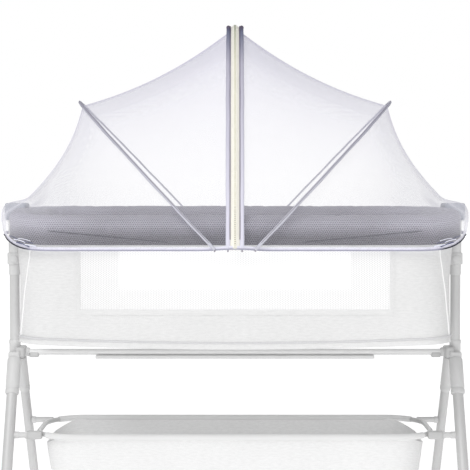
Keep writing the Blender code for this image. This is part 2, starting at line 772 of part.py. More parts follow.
def post_lock():
    """Sleeve and collar round the upper post, where the height is set."""
    profile = (
        (0.0, LOCK_TOP),
        (LOCK_SLEEVE_RADIUS, LOCK_TOP),
        (LOCK_SLEEVE_RADIUS, LOCK_COLLAR_TOP + LOCK_COLLAR_SLOPE),
        (LOCK_COLLAR_RADIUS, LOCK_COLLAR_TOP),
        (LOCK_COLLAR_RADIUS, LOCK_COLLAR_BOTTOM),
        (LOCK_TAIL_RADIUS, LOCK_COLLAR_BOTTOM - LOCK_COLLAR_SLOPE),
        (LOCK_TAIL_RADIUS, LOCK_BOTTOM),
        (0.0, LOCK_BOTTOM),
    )
    made = turned("post_lock_right", profile, 16, plastic_grey())
    made.location.x = POST_X
    return made


def post_button():
    """Round release button on the front of the collar."""
    start = Vector((POST_X, -LOCK_COLLAR_RADIUS - GAP, BUTTON_HEIGHT))
    shape = cylinder_shape(start, start - Vector((0, BUTTON_PROUD, 0)), BUTTON_RADIUS, 16)
    return place("post_button_right", mesh_from(shape), plastic_grey())


def post():
    """Lower post tube."""
    top, bottom = Vector((POST_X, 0, LOCK_BOTTOM - GAP)), Vector((POST_X, 0, JOINT_TOP + GAP))
    return place("post_right", mesh_from(cylinder_shape(bottom, top, POST_RADIUS, 16)), tube_grey())


def joint():
    """Housing where the post, the crossbar and the two legs meet."""
    return block("leg_joint_right", (JOINT_INNER_X, -JOINT_HALF_DEPTH, JOINT_BOTTOM),
                 (JOINT_OUTER_X, JOINT_HALF_DEPTH, JOINT_TOP), 0.004, plastic_grey())


def leg_point(top, foot, height):
    """Point on a leg's axis at a height."""
    return foot + (top - foot) * ((height - foot.z) / (top.z - foot.z))


def leg_pieces(side, leg):
    """Collar, tube and rubber foot of one leaning leg, end to end on its axis."""
    top, foot, radius, collar_radius, collar_end = leg
    axis = (foot - top).normalized()
    collar_low = leg_point(top, foot, collar_end)
    collar = cylinder_shape(collar_low, top, collar_radius, 16)
    cut_flat(collar, JOINT_BOTTOM - GAP, True)
    foot_high = leg_point(top, foot, FOOT_HEIGHT)
    tube = cylinder_shape(foot_high - axis * GAP, collar_low + axis * GAP, radius, 14)
    shoe = cylinder_shape(foot + axis * 0.03, foot_high, radius + FOOT_MARGIN, 16)
    cut_flat(shoe, 0.0, False)
    place(f"leg_collar_{side}_right", mesh_from(collar), plastic_grey())
    place(f"leg_{side}_right", mesh_from(tube), tube_grey())
    place(f"foot_{side}_right", mesh_from(shoe), rubber_grey())
    for kind in ("leg_collar", "leg", "foot"):
        other_end(bpy.data.objects[f"{kind}_{side}_right"], f"{kind}_{side}_left")


def crossbar():
    """Bar between the two joints, under the tub."""
    end = Vector((JOINT_INNER_X - GAP, 0, CROSSBAR_HEIGHT))
    start = Vector((-end.x, 0, end.z))
    return place("crossbar", mesh_from(cylinder_shape(start, end, CROSSBAR_RADIUS, 14)), tube_grey())


def crossbar_pad():
    """Flat bar along the underside of the crossbar."""
    top = CROSSBAR_HEIGHT - CROSSBAR_RADIUS - GAP
    return block("crossbar_pad", (-PAD_HALF_LENGTH, -PAD_HALF_DEPTH, PAD_BOTTOM),
                 (PAD_HALF_LENGTH, PAD_HALF_DEPTH, top), 0.0025, plastic_grey())


def basket_tube():
    """Closed wire ring that the storage basket hangs from."""
    ring = rounded_ring(BASKET_HALF_LENGTH, BASKET_HALF_DEPTH, BASKET_CORNER, 5)
    points = [(x, y, BASKET_HEIGHT) for x, y in ring]
    mesh = tube_mesh("basket_tube", points, BASKET_TUBE_RADIUS, 2, False, closed=True)
    return place("basket_tube", mesh, tube_grey())


def basket_level(level):
    """Half length, half depth and height of the cloth basket at one of its levels."""
    top = BASKET_HEIGHT - BASKET_TUBE_RADIUS - GAP
    height = top - (top - BASKET_CLOTH_BOTTOM) * level["drop"]
    return BASKET_CLOTH_HALF_LENGTH - level["inward"], BASKET_HALF_DEPTH - level["inward"], height


def basket_side(name, side):
    """Long cloth wall that hangs from the ring; side is -1 in the front and 1 at the back."""
    rows = []
    for level in BASKET_CLOTH_LEVELS:
        half_length, half_depth, height = basket_level(level)
        end = half_length - level["corner"] - TUB_SEAM
        rows.append([(x, side * half_depth, height) for x in (-end, 0.0, end)])
    made = place(name, mesh_from(surface(rows)), tub_linen(), 50)
    return thicken(made, BASKET_CLOTH_THICKNESS)


def basket_end():
    """Cloth end wall with its two rounded corners."""
    rows = []
    for level in BASKET_CLOTH_LEVELS:
        half_length, half_depth, height = basket_level(level)
        near = rounded_corner(half_length, half_depth, level["corner"], BASKET_CORNER_STEPS)
        far = [(x, -y) for x, y in reversed(near)]
        rows.append([(x, y, height) for x, y in near + far])
    made = place("basket_end_right", mesh_from(surface(rows)), tub_linen(), 50)
    return thicken(made, BASKET_CLOTH_THICKNESS)


def basket_floor():
    """Flat floor of the basket inside the lower edges of its walls."""
    lowest = BASKET_CLOTH_LEVELS[-1]
    inset = BASKET_CLOTH_THICKNESS / 2 + GAP
    half_length, half_depth, height = basket_level(lowest)
    right = rounded_corner(half_length - inset, half_depth - inset, lowest["corner"], BASKET_CORNER_STEPS)
    left = [(-x, y) for x, y in reversed(right)]
    rows = [[(x, y, height), (x, -y, height)] for x, y in left + right]
    made = place("basket_floor", mesh_from(surface(rows)), tub_linen(), 50)
    return thicken(made, BASKET_CLOTH_THICKNESS)


def basket_bracket(side, top, foot, radius):
    """Stub that carries the basket's ring on one leg."""
    leg = leg_point(top, foot, BASKET_HEIGHT)
    sign = math.copysign(1, leg.y)
    y = leg.y - sign * BRACKET_INSET
    arc_y = abs(y) - BRACKET_RADIUS - (BASKET_HALF_DEPTH - BASKET_CORNER)
    ring_x = BASKET_HALF_LENGTH - BASKET_CORNER + math.sqrt(BASKET_CORNER**2 - max(arc_y, 0.0) ** 2)
    start = Vector((ring_x + BASKET_TUBE_RADIUS + GAP, y, BASKET_HEIGHT))
    end = Vector((leg.x - radius - 2 * GAP, y, BASKET_HEIGHT))
    name = f"basket_bracket_{side}_right"
    return place(name, mesh_from(cylinder_shape(start, end, BRACKET_RADIUS, 12)), plastic_grey())


def build_net():
    both_ends(upper_panel)
    both_ends(lower_panel)
    both_ends(lambda: sleeve("sleeve_upright_right", UPRIGHT_HOOP))
    both_ends(lambda: sleeve("sleeve_leaning_right", LEANING_HOOP))
    both_ends(lambda: rod("rod_upright_right", UPRIGHT_HOOP))
    both_ends(lambda: rod("rod_leaning_right", LEANING_HOOP))
    both_ends(zip_tape)
    zip_chain()


def build_crib():
    rail_cover()
    tub_side("tub_side_near", -1, WINDOW_NEAR_HALF_LENGTH)
    tub_side("tub_side_far", 1, WINDOW_FAR_HALF_LENGTH)
    both_ends(tub_end)
    tub_floor()
    window_mesh("window_mesh_near", -1, WINDOW_NEAR_HALF_LENGTH)
    window_mesh("window_mesh_far", 1, WINDOW_FAR_HALF_LENGTH)
    for build in (post_cap, post_lock, post_button, post, joint):
        both_ends(build)
    near_leg = (NEAR_LEG_TOP, NEAR_LEG_FOOT, NEAR_LEG_RADIUS, NEAR_LEG_COLLAR_RADIUS, NEAR_LEG_COLLAR_END)
    far_leg = (FAR_LEG_TOP, FAR_LEG_FOOT, FAR_LEG_RADIUS, FAR_LEG_COLLAR_RADIUS, FAR_LEG_COLLAR_END)
    leg_pieces("near", near_leg)
    leg_pieces("far", far_leg)
    crossbar()
    crossbar_pad()
    basket_tube()
    basket_side("basket_side_near", -1)
    basket_side("basket_side_far", 1)
    both_ends(basket_end)
    basket_floor()
    both_ends(lambda: basket_bracket("near", NEAR_LEG_TOP, NEAR_LEG_FOOT, NEAR_LEG_RADIUS))
    both_ends(lambda: basket_bracket("far", FAR_LEG_TOP, FAR_LEG_FOOT, FAR_LEG_RADIUS))


build_net()
build_crib()
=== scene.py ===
"""Looks of the crib mosquito net: sheer panels on sprung hoops, over the padded rail of a bedside crib.

Lengths are in metres. X runs along the crib, -Y is the side in front, and Z is up from the floor.
"""

import math
from contextlib import contextmanager

import bmesh
import bpy
import numpy as np
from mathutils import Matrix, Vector, noise


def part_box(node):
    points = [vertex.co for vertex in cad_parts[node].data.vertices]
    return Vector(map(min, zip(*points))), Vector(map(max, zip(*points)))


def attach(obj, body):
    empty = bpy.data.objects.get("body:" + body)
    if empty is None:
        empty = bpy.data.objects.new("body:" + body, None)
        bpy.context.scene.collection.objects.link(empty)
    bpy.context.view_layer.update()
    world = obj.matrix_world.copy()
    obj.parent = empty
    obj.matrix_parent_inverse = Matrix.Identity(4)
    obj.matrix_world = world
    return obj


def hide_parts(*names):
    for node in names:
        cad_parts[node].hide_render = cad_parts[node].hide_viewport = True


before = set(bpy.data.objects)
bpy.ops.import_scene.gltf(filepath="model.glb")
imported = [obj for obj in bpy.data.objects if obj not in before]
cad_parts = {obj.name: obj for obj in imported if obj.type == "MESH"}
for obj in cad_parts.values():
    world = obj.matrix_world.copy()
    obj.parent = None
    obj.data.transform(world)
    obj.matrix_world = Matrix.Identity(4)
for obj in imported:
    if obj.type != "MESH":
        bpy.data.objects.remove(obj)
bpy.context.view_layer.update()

# Camera and light, as the photograph was taken
CAMERA_DISTANCE = 2.875
CAMERA_HEIGHT = 0.780
CAMERA_PITCH = math.radians(1.91)
CAMERA_LENS = 103.2
SKY_LIGHT = 0.47
SOFTBOX_LIGHT = 1.2
FILL_LIGHT = 0.75
FLOOR_GLOW = 0.30

# Padded rail, with the flap that hangs from its outer side
RAIL_HALF_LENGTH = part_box("rail_cover")[1].x
RAIL_HALF_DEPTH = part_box("rail_cover")[1].y
RAIL_TOP_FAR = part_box("rail_cover")[1].z
RAIL_TOP_NEAR = 0.733
RAIL_CORNER = 0.130
RAIL_STEPS = 430
ROLL_RADIUS = 0.02075
ROLL_SLACK = 0.0004
LUMP_DEPTH = 0.0007
CREASE_DEPTH = 0.00132
PINCH_DEPTH = 0.0022
FLAP_TOP = -0.0125
FLAP_DROP = 0.018
FLAP_THICKNESS = 0.003
FLAP_INSET = 0.002
FLAP_SWING = 0.0012
RAIL_SEAM_START = (0.362, 0.7010)
RAIL_SEAM_END_X = 0.130
RAIL_SEAM_SLOPE = 0.094

# Hoops of the net, with their rods and sleeves
HOOP_FOOT_HEIGHT = 0.665
HOOP_HALF_DEPTH = 0.2915
UPRIGHT_HOOP = {"near_x": 0.0137, "far_x": 0.0137, "reach": 0.4585, "lean": 0.0}
LEANING_HOOP = {"near_x": 0.0390, "far_x": 0.0510, "reach": 0.4140, "lean": math.radians(43.3)}
HOOP_FIRST_ANGLE = math.radians(2.5)
PANEL_STEPS = 20
HOOP_STEPS = 80
ROD_RADIUS = 0.0016
ROD_FOOT = 0.0040
SLEEVE_RADIUS = 0.0042
LEANING_SLEEVE_RADII = (0.0031, 0.0021)
SLEEVE_FOLD_CROWN = 0.0088
SLEEVE_FOLD_FOOT = 0.0080
SEAM = 0.0009

# Net panels, their skirt and its hem
NET_OPEN_SHARE = 0.87
UPPER_ROWS = 8
LOWER_ROWS = 7
UPPER_PULL = 0.28
LOWER_PULL = 0.95
GATHER_TOP = 0.722
GATHER_PITCH = 0.021
GATHER_DEPTH = 0.0016
HEM_NEAR = 0.6630
HEM_END = 0.6865
HEM_FAR = 0.6800
HEM_RISE_START = 0.268
HEM_RISE_END = 0.165
SKIRT_FOOT_STAND = 0.0060
SKIRT_FOOT_BLEND = 0.14
SKIRT_END_REACH = 0.320
SKIRT_END_FADE = 0.080
ROLL_CLEARANCE = 0.0034
CAP_SPAN = 0.033
CAP_TAUT_END = 0.170
CAP_CREST_END = 0.100
HEM_BAND_HEIGHT = 0.0064
HEM_BAND_THICKNESS = 0.0020
HEM_GATHER = 0.0085
HEM_ELASTIC_RADIUS = 0.0013
HEM_STEPS = 1500

# Zip between the upright hoops
ZIP_RISE = 0.0050
ZIP_CHAIN_WIDTH = 0.0034
ZIP_TEETH_COUNT = 331
TOOTH_LENGTH = 0.0016
TOOTH_HEIGHT = 0.0021
TAPE_THICKNESS = 0.0009

# Tub
TUB_TOP = 0.7010
TUB_WALL = 0.0026
TUB_BOTTOM_MIDDLE = 0.471
TUB_BOTTOM_END = 0.482
WINDOW_HALF_LENGTHS = {"near": 0.302, "far": 0.273}
WINDOW_BOTTOM = 0.546
WINDOW_TOP = 0.670
WINDOW_BELLY = 0.27
BINDING_WIDTH = 0.0100
BINDING_LENGTH = 1.4
PIPING_RADIUS = 0.0021

# Posts, legs and crossbar
POST_X = 0.471
POST_LOCK_LOW = 0.599
HUB_LOW = 0.4215
CROSSBAR_HEIGHT = 0.434
SHOE_TOP = 0.036
SIDES = (("near", -1), ("far", 1))

# Basket
BASKET_HEIGHT = 0.272
BASKET_HALF_LENGTH = 0.413
BASKET_HALF_DEPTH = 0.120
BASKET_CORNER = 0.080
BASKET_TUBE_RADIUS = 0.0052
BASKET_CLOTH_BOTTOM = 0.154
BASKET_END_DIP = 0.024
BASKET_CLOTH_THICKNESS = 0.0018
CASING_TURN = 45
STUB_SHIFT = 0.0040


# Small helpers for modelling

def only(made):
    """Make a piece the one selected and active object."""
    bpy.ops.object.select_all(action="DESELECT")
    made.select_set(True)
    bpy.context.view_layer.objects.active = made


def named(name):
    """Name the object that was just made."""
    made = bpy.context.object
    made.name = name
    made.data.name = name
    return made


@contextmanager
def editing(made):
    """Edit mode with the whole of a piece selected."""
    only(made)
    bpy.ops.object.mode_set(mode="EDIT")
    bpy.ops.mesh.select_mode(type="FACE")
    bpy.ops.mesh.select_all(action="SELECT")
    yield
    bpy.ops.object.mode_set(mode="OBJECT")


@contextmanager
def shape_of(made):
    """The mesh of a piece, opened for work on its faces and written back after it."""
    shape = bmesh.new()
    shape.from_mesh(made.data)
    yield shape
    shape.to_mesh(made.data)
    shape.free()


def welded(made):
    """Join the corners of a piece that meet, and turn its faces outward."""
    with editing(made):
        bpy.ops.mesh.remove_doubles(threshold=1e-5)
        bpy.ops.mesh.normals_make_consistent(inside=False)
    return made


def settled(made):
    """Put the object's place into its mesh and leave the object at the origin."""
    only(made)
    bpy.ops.object.transform_apply(location=True, rotation=True, scale=True)
    return made


def modified(made, kind, **settings):
    """Add a modifier to a piece and apply it."""
    modifier = made.modifiers.new(kind, kind)
    for setting, value in settings.items():
        setattr(modifier, setting, value)
    only(made)
    bpy.ops.object.modifier_apply(modifier=modifier.name)
    return made


def subdivided(made, levels):
    """Round a sheet with a subdivision surface."""
    return modified(made, "SUBSURF", levels=levels, render_levels=levels, boundary_smooth="PRESERVE_CORNERS")


def walled(made, thickness):
    """Give a sheet its thickness, half of it to each side."""
    return modified(made, "SOLIDIFY", thickness=thickness, offset=0.0)


def finished(made, material, slot_name, *nodes, angle=60):
    """Give a piece its material and shading, and let it ride with the object and stand for its solids."""
    made.data.materials.clear()
    made.data.materials.append(material)
    only(made)
    bpy.ops.object.shade_smooth_by_angle(angle=math.radians(angle))
    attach(made, "root")
    if nodes:
        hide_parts(*nodes)
    return made


def at_both_ends(right, material, slot_name, *nodes, angle=35):
    """Finish a piece at the right end and its copy at the left end."""
    only(right)
    bpy.ops.object.duplicate()
    left = named(right.name.replace("_right", "_left"))
    for corner in left.data.vertices:
        corner.co.x = -corner.co.x
    left.data.flip_normals()
    left.data.update()
    for made, side in ((right, "right"), (left, "left")):
        finished(made, material, slot_name, *(f"{node}_{side}" for node in nodes), angle=angle)
    return right, left


def unit(vectors):
    return vectors / np.linalg.norm(vectors, axis=-1, keepdims=True)


def eased(share):
    share = np.clip(share, 0.0, 1.0)
    return share * share * (3 - 2 * share)


def mixed(low, high, share):
    return low + (high - low) * share


def wander(x, y=0.0, z=0.0):
    """Smooth noise at a place."""
    return noise.noise(Vector((x, y, z)))


def walked(points, axis=0):
    """Distance walked along a line or a grid of points, from nought."""
    steps = np.linalg.norm(np.diff(points, axis=axis), axis=-1)
    return np.insert(np.cumsum(steps, axis=axis), 0, 0.0, axis=axis)


def grid_over(name, points, wrap=False):
    """A grid laid over rows of points, with a UV map in metres along the columns and the rows.

    wrap closes each row on itself.
    """
    points = np.asarray(points, float)
    rows, columns = points.shape[:2]
    bpy.ops.mesh.primitive_grid_add(x_subdivisions=columns - 1, y_subdivisions=rows - 1, size=1.0)
    made = named(name)
    across, along = walked(points, 1), walked(points, 0).mean(1)
    spots = [(round((corner.co.y + 0.5) * (rows - 1)), round((corner.co.x + 0.5) * (columns - 1)))
             for corner in made.data.vertices]
    layer = made.data.uv_layers[0]
    layer.name = "Cloth"
    for loop in made.data.loops:
        row, column = spots[loop.vertex_index]
        layer.data[loop.index].uv = (across[row, column], along[row])
    for corner, spot in zip(made.data.vertices, spots):
        corner.co = points[spot]
    return welded(made) if wrap else made


def pushed_out(made, how_far):
    """Move each corner along its normal by how_far(place, (u, v))."""
    layer = made.data.uv_layers[0]
    flat = {}
    for loop in made.data.loops:
        flat.setdefault(loop.vertex_index, tuple(layer.data[loop.index].uv))
    normals = [corner.normal.copy() for corner in made.data.vertices]
    for corner, normal in zip(made.data.vertices, normals):
        corner.co += normal * how_far(corner.co, flat[corner.index])
    made.data.update()
    return made


def round_tube(name, points, radius, closed=False, resolution=2):
    """A curve with a round section, made a mesh."""
    curve = bpy.data.curves.new(name, "CURVE")
    curve.dimensions = "3D"
    curve.bevel_depth = radius
    curve.bevel_resolution = resolution
    curve.use_fill_caps = not closed
    spline = curve.splines.new("POLY")
    spline.points.add(len(points) - 1)
    for point, spot in zip(spline.points, points):
        point.co = (*spot, 1.0)
    spline.use_cyclic_u = closed
    made = bpy.data.objects.new(name, curve)
    bpy.context.scene.collection.objects.link(made)
    only(made)
    bpy.ops.object.convert(target="MESH")
    return welded(named(name))


# The hoops and the cloth between them

def hoop_angles(steps):
    inner = np.linspace(HOOP_FIRST_ANGLE, math.pi - HOOP_FIRST_ANGLE, steps + 1)
    return np.concatenate([[0.0], inner, [math.pi]])


def hoop_line(hoop, steps=HOOP_STEPS, grow=0.0):
    """Centre line of half an elliptic hoop that leans out from its two feet; grow makes it larger all round."""
    angles = hoop_angles(steps)
    rise = (hoop["reach"] + grow) * np.sin(angles)
    depth = -np.cos(angles)
    foot_x = mixed(hoop["near_x"], hoop["far_x"], (1 + depth) / 2)
    return np.stack([foot_x + rise * math.sin(hoop["lean"]), (HOOP_HALF_DEPTH + grow) * depth,
                     HOOP_FOOT_HEIGHT + rise * math.cos(hoop["lean"])], axis=1)


def hoop_outward(hoop, steps=HOOP_STEPS):
    """Direction straight out of the hoop at each of its points, in the hoop's own plane."""
    angles = hoop_angles(steps)
    depth, rise = -np.cos(angles) / HOOP_HALF_DEPTH, np.sin(angles) / hoop["reach"]
    return unit(np.stack([rise * math.sin(hoop["lean"]), depth, rise * math.cos(hoop["lean"])], axis=1))


def hoop_sideways(hoop):
    """Direction across the hoop's plane at each of its points."""
    return np.cross(unit(np.gradient(hoop_line(hoop), axis=0)), hoop_outward(hoop))


def seam_line(hoop, steps=HOOP_STEPS):
    """Inner edge of the hoop's sleeve, where the panels are sewn on."""
    fold = mixed(SLEEVE_FOLD_FOOT, SLEEVE_FOLD_CROWN, np.sin(hoop_angles(steps))[:, None])
    return hoop_line(hoop, steps) - hoop_outward(hoop, steps) * fold


def beside(line, towards):
    """The line moved a seam's width towards the other line."""
    tangent = unit(np.gradient(line, axis=0))
    pull = towards - line
    pull = pull - (pull * tangent).sum(1, keepdims=True) * tangent
    return line + unit(pull) * SEAM


def roll_centre(y):
    """Height of the roll's middle: the near side sits a little lower than the ends and the far side."""
    drop = eased((-y - 0.15) / (RAIL_HALF_DEPTH - ROLL_RADIUS - 0.15))
    return mixed(RAIL_TOP_FAR, RAIL_TOP_NEAR, drop) - ROLL_RADIUS


def off_roll(cloth):
    """Cloth points moved away from the middle of the rail's roll where they come too near to it."""
    beyond = np.abs(cloth[..., :2]) - (np.array([RAIL_HALF_LENGTH, RAIL_HALF_DEPTH]) - RAIL_CORNER)
    outer = np.maximum(beyond, 0)
    reach = np.linalg.norm(outer, axis=-1)
    out = reach + np.minimum(beyond.max(-1), 0) - RAIL_CORNER + ROLL_RADIUS
    up = cloth[..., 2] - roll_centre(cloth[..., 1])
    away = np.hypot(out, up)
    push = np.maximum(ROLL_RADIUS + ROLL_CLEARANCE - away, 0) / away
    sideways = outer / np.maximum(reach, 1e-9)[..., None] * np.sign(cloth[..., :2])
    return cloth + np.concatenate([sideways * (out * push)[..., None], (up * push)[..., None]], axis=-1)


def stretched(points, pull):
    """Cloth drawn tight between the fixed rim of a grid of points; pull is its tightness along the sleeves."""
    cloth = np.array(points, float)
    across = np.linalg.norm(np.diff(cloth, axis=1), axis=2).mean(1)
    along = np.linalg.norm(np.diff(cloth, axis=0), axis=2)
    across_pull = (1 / across[1:-1] ** 2)[:, None, None]
    along_pull = (pull / ((along[1:, 1:-1] + along[:-1, 1:-1]) / 2) ** 2)[:, :, None]
    for _ in range(500):
        sides = cloth[1:-1, :-2] + cloth[1:-1, 2:]
        ends = cloth[:-2, 1:-1] + cloth[2:, 1:-1]
        cloth[1:-1, 1:-1] = off_roll((across_pull * sides + along_pull * ends) / (2 * (across_pull + along_pull)))
    return cloth


def between(first, last, count):
    """A grid of straight lines from one edge to the other, with that many intervals."""
    return mixed(first[:, None, :], last[:, None, :], np.linspace(0, 1, count + 1)[None, :, None])


def rail_length():
    """Length of half the rail's outline, from the middle of the near side to the middle of the far one."""
    return 2 * (RAIL_HALF_LENGTH + RAIL_HALF_DEPTH - 2 * RAIL_CORNER) + math.pi * RAIL_CORNER


def rail_outline(along):
    """Point and outward direction on the right half of the rail's outline, walked from the near side's middle."""
    side = RAIL_HALF_LENGTH - RAIL_CORNER
    end = RAIL_HALF_DEPTH - RAIL_CORNER
    arc = RAIL_CORNER * math.pi / 2
    turn = (np.clip(along - side, 0, arc) + np.clip(along - side - arc - 2 * end, 0, arc)) / RAIL_CORNER
    out = np.array([math.sin(turn), -math.cos(turn)])
    x = min(along, side) - max(0.0, along - side - 2 * arc - 2 * end)
    y = np.clip(along - side - arc, 0, 2 * end) - end
    return np.array([x, y]) + RAIL_CORNER * out, out


def hem_height(y):
    """Height of the hem: lowest along the near side, highest round the ends, a little lower again far off."""
    high = mixed(HEM_FAR, HEM_END, eased((0.24 - y) / 0.10))
    return mixed(high, HEM_NEAR, eased((-y - HEM_RISE_END) / (HEM_RISE_START - HEM_RISE_END)))


# Rows of the skirt from the rail's shoulder to the hem. Each has how far it stands outside the rail's outline on
# the long sides, round the ends and over the post cap, and how high over the roll's middle at the same three.
# The hem row has its own height instead.
SKIRT_ROWS = (
    {"stand": (-0.0035, -0.0135, -0.0150), "rise": (0.0160, 0.0226, 0.0335)},
    {"stand": (0.0012, 0.0045, 0.0330), "rise": (0.0090, 0.0125, 0.0325)},
    {"stand": (0.0014, 0.0085, 0.0385), "rise": (0.0000, 0.0000, 0.0040)},
    {"stand": (0.0014, 0.0075, 0.0345), "rise": (-0.0270, -0.0280, -0.0270)},
    {"stand": (0.0006, 0.0045, 0.0290), "rise": None},
)


def skirt_point(along, row, foot_share, room):
    """A point of the skirt: along is the way round the rail, foot_share how near the leaning hoop's foot it is.

    room is the height from the hem to the sleeve, which squeezes the rows together near the foot.
    """
    on_rail, out = rail_outline(along)
    y = abs(on_rail[1])
    middle, hem = roll_centre(on_rail[1]), hem_height(on_rail[1])
    from_end = abs(rail_length() / 2 - along)
    end = np.interp(from_end, (SKIRT_END_REACH, SKIRT_END_REACH + SKIRT_END_FADE), (1.0, 0.0))
    taut = np.interp(y, (CAP_SPAN, CAP_TAUT_END), (1.0, 0.0)) if out[0] > 0.5 else 0.0
    crest = np.interp(y, (CAP_SPAN, CAP_CREST_END), (1.0, 0.0)) if out[0] > 0.5 else 0.0
    side_stand, end_stand, cap_stand = row["stand"]
    stand = mixed(side_stand, end_stand, end)
    if cap_stand > end_stand:
        stand = max(stand, mixed(side_stand, cap_stand, taut))
    else:
        stand = mixed(stand, cap_stand, crest)
    stand = mixed(stand, SKIRT_FOOT_STAND, foot_share)
    height = hem
    if row["rise"]:
        side_rise, end_rise, cap_rise = row["rise"]
        height = middle + mixed(mixed(side_rise, end_rise, end), cap_rise, crest)
        full_room = 1.3 * (middle + SKIRT_ROWS[0]["rise"][0] - hem)
        height = mixed(hem, height, min(1.0, room / full_room))
        clear = ROLL_RADIUS + ROLL_CLEARANCE
        over_middle = min(abs(height - middle), clear)
        stand = max(stand, math.sqrt(clear**2 - over_middle**2) - ROLL_RADIUS)
    return np.array([*(on_rail + out * stand), height])


def halved(line):
    """The line with a point added midway between each two."""
    longer = np.empty((2 * len(line) - 1, 3))
    longer[::2] = line
    longer[1::2] = (line[1:] + line[:-1]) / 2
    return longer


def skirt_lines():
    """The lower panel's sewn edge and the rows of its skirt."""
    seam = seam_line(LEANING_HOOP, PANEL_STEPS)
    lean = LEANING_HOOP["lean"]
    edge = halved(beside(seam, seam + np.array([math.cos(lean), 0, -math.sin(lean)]))[1:-1])
    first, last = edge[0][0], rail_length() - edge[-1][0]
    way = walked(edge)
    rows = []
    for row in SKIRT_ROWS:
        line = []
        for along, top in zip(mixed(first, last, way / way[-1]), edge):
            foot_share = max(0.0, 1 - min(along - first, last - along) / SKIRT_FOOT_BLEND) ** 2
            line.append(skirt_point(along, row, foot_share, top[2] - hem_height(top[1])))
        rows.append(np.array(line))
    return edge, rows


def resampled(line, count, closed=False):
    """The line walked in even steps, softly rounded."""
    for _ in range(2):
        if closed:
            ring = halved(np.concatenate([line, line[:1]]))[:-1]
            line = np.roll(ring / 2 + (np.roll(ring, 1, axis=0) + np.roll(ring, -1, axis=0)) / 4, -1, axis=0)
        else:
            line = halved(line)
            line[1:-1] = line[1:-1] / 2 + (line[:-2] + line[2:]) / 4
    if closed:
        line = np.concatenate([line, line[:1]])
    way = walked(line)
    steps = np.linspace(0, way[-1], count)
    return np.stack([np.interp(steps, way, line[:, k]) for k in range(3)], axis=1)


# Shader nodes. The owner is any node or socket of the tree that a new node belongs to.

def feed(socket, value):
    """Link a socket to another, or set it to a number, a vector or a colour."""
    if isinstance(value, bpy.types.NodeSocket):
        socket.id_data.links.new(value, socket)
    elif socket.type == "RGBA":
        socket.default_value = (*value, 1.0)
    else:
        socket.default_value = value


def added(owner, kind, inputs, output=0, **settings):
    """A new node with its settings and inputs; what it returns is one of its outputs."""
    node = owner.id_data.nodes.new(f"ShaderNode{kind}")
    for setting, value in settings.items():
        setattr(node, setting, value)
    for label, value in inputs.items():
        feed(node.inputs[label], value)
    return node.outputs[output]


def calc(operation, *values):
    """A Math node; each value is a socket or a number."""
    owner = next(value for value in values if isinstance(value, bpy.types.NodeSocket))
    return added(owner, "Math", dict(enumerate(values)), operation=operation)


def product(first, *others):
    for other in others:
        first = calc("MULTIPLY", first, other)
    return first


def ranged(value, low, high, to_low=0.0, to_high=1.0):
    """A value's range mapped to another and held inside it."""
    ends = {"Value": value, "From Min": low, "From Max": high, "To Min": to_low, "To Max": to_high}
    return added(value, "MapRange", ends, "Result")


def blended(factor, low, high):
    """A colour between two, by a factor."""
    return added(factor, "Mix", {"Factor": factor, "A": low, "B": high}, "Result", data_type="RGBA")


def part_of(vector, axis):
    """One coordinate of a place."""
    return added(vector, "SeparateXYZ", {0: vector}, axis)


def drawn_out(vector, scales):
    """A place with each of its coordinates scaled."""
    return added(vector, "VectorMath", {0: vector, 1: scales}, operation="MULTIPLY")


def effect(group, vector, **values):
    """A shared effect fed with a place and its own values."""
    return added(vector, "Group", {"Vector": vector, **values}, node_tree=group)


def on_piece(owner):
    """Object coordinates."""
    return added(owner, "TexCoord", {}, "Object")


def on_cloth(owner):
    """The cloth's own UV map."""
    return added(owner, "UVMap", {}, "UV", uv_map="Cloth")


# Effects shared by several materials

def new_effect(name, inputs, output):
    """An empty shader group: its input sockets by name, and its output socket."""
    group = bpy.data.node_groups.new(name, "ShaderNodeTree")
    group.interface.new_socket(name="Vector", in_out="INPUT", socket_type="NodeSocketVector")
    for label, value in inputs.items():
        socket = group.interface.new_socket(name=label, in_out="INPUT", socket_type="NodeSocketFloat")
        socket.default_value = value
    group.interface.new_socket(name=output, in_out="OUTPUT", socket_type="NodeSocketFloat")
    return group.nodes.new("NodeGroupInput").outputs, group.nodes.new("NodeGroupOutput").inputs[output]


def weave_effect():
    """Plain weave: threads that pass over and under each other. Threads is their number in a metre."""
    entry, height = new_effect("Plain weave", {"Threads": 1000.0}, "Height")
    place = added(height, "VectorMath", {0: entry["Vector"], "Scale": entry["Threads"]}, operation="SCALE")
    warp, weft = (calc("ABSOLUTE", calc("SINE", calc("MULTIPLY", part_of(place, axis), math.pi))) for axis in "XY")
    over = added(height, "TexChecker", {"Scale": 1.0, "Vector": place}, "Fac")
    lower = calc("MULTIPLY", weft, calc("SUBTRACT", 1.0, over))
    feed(height, calc("ADD", calc("MULTIPLY", warp, over), lower))
    return height.id_data


def tulle_effect():
    """Net of fine threads round six-sided holes. Holes is their number in a metre."""
    entry, thread = new_effect("Tulle net", {"Holes": 500.0}, "Thread")
    turn = calc("MULTIPLY", entry["Holes"], 2 * math.pi)
    x, y = (calc("MULTIPLY", part_of(entry["Vector"], axis), turn) for axis in "XY")
    half_x = calc("MULTIPLY", x, 0.5)
    tall_y = calc("MULTIPLY", y, math.sqrt(3) / 2)
    waves = calc("COSINE", x)
    for slant in (calc("ADD", half_x, tall_y), calc("SUBTRACT", half_x, tall_y)):
        waves = calc("ADD", waves, calc("COSINE", slant))
    feed(thread, added(thread, "Clamp", {"Value": calc("MULTIPLY_ADD", waves, -0.35, 0.30)}))
    return thread.id_data


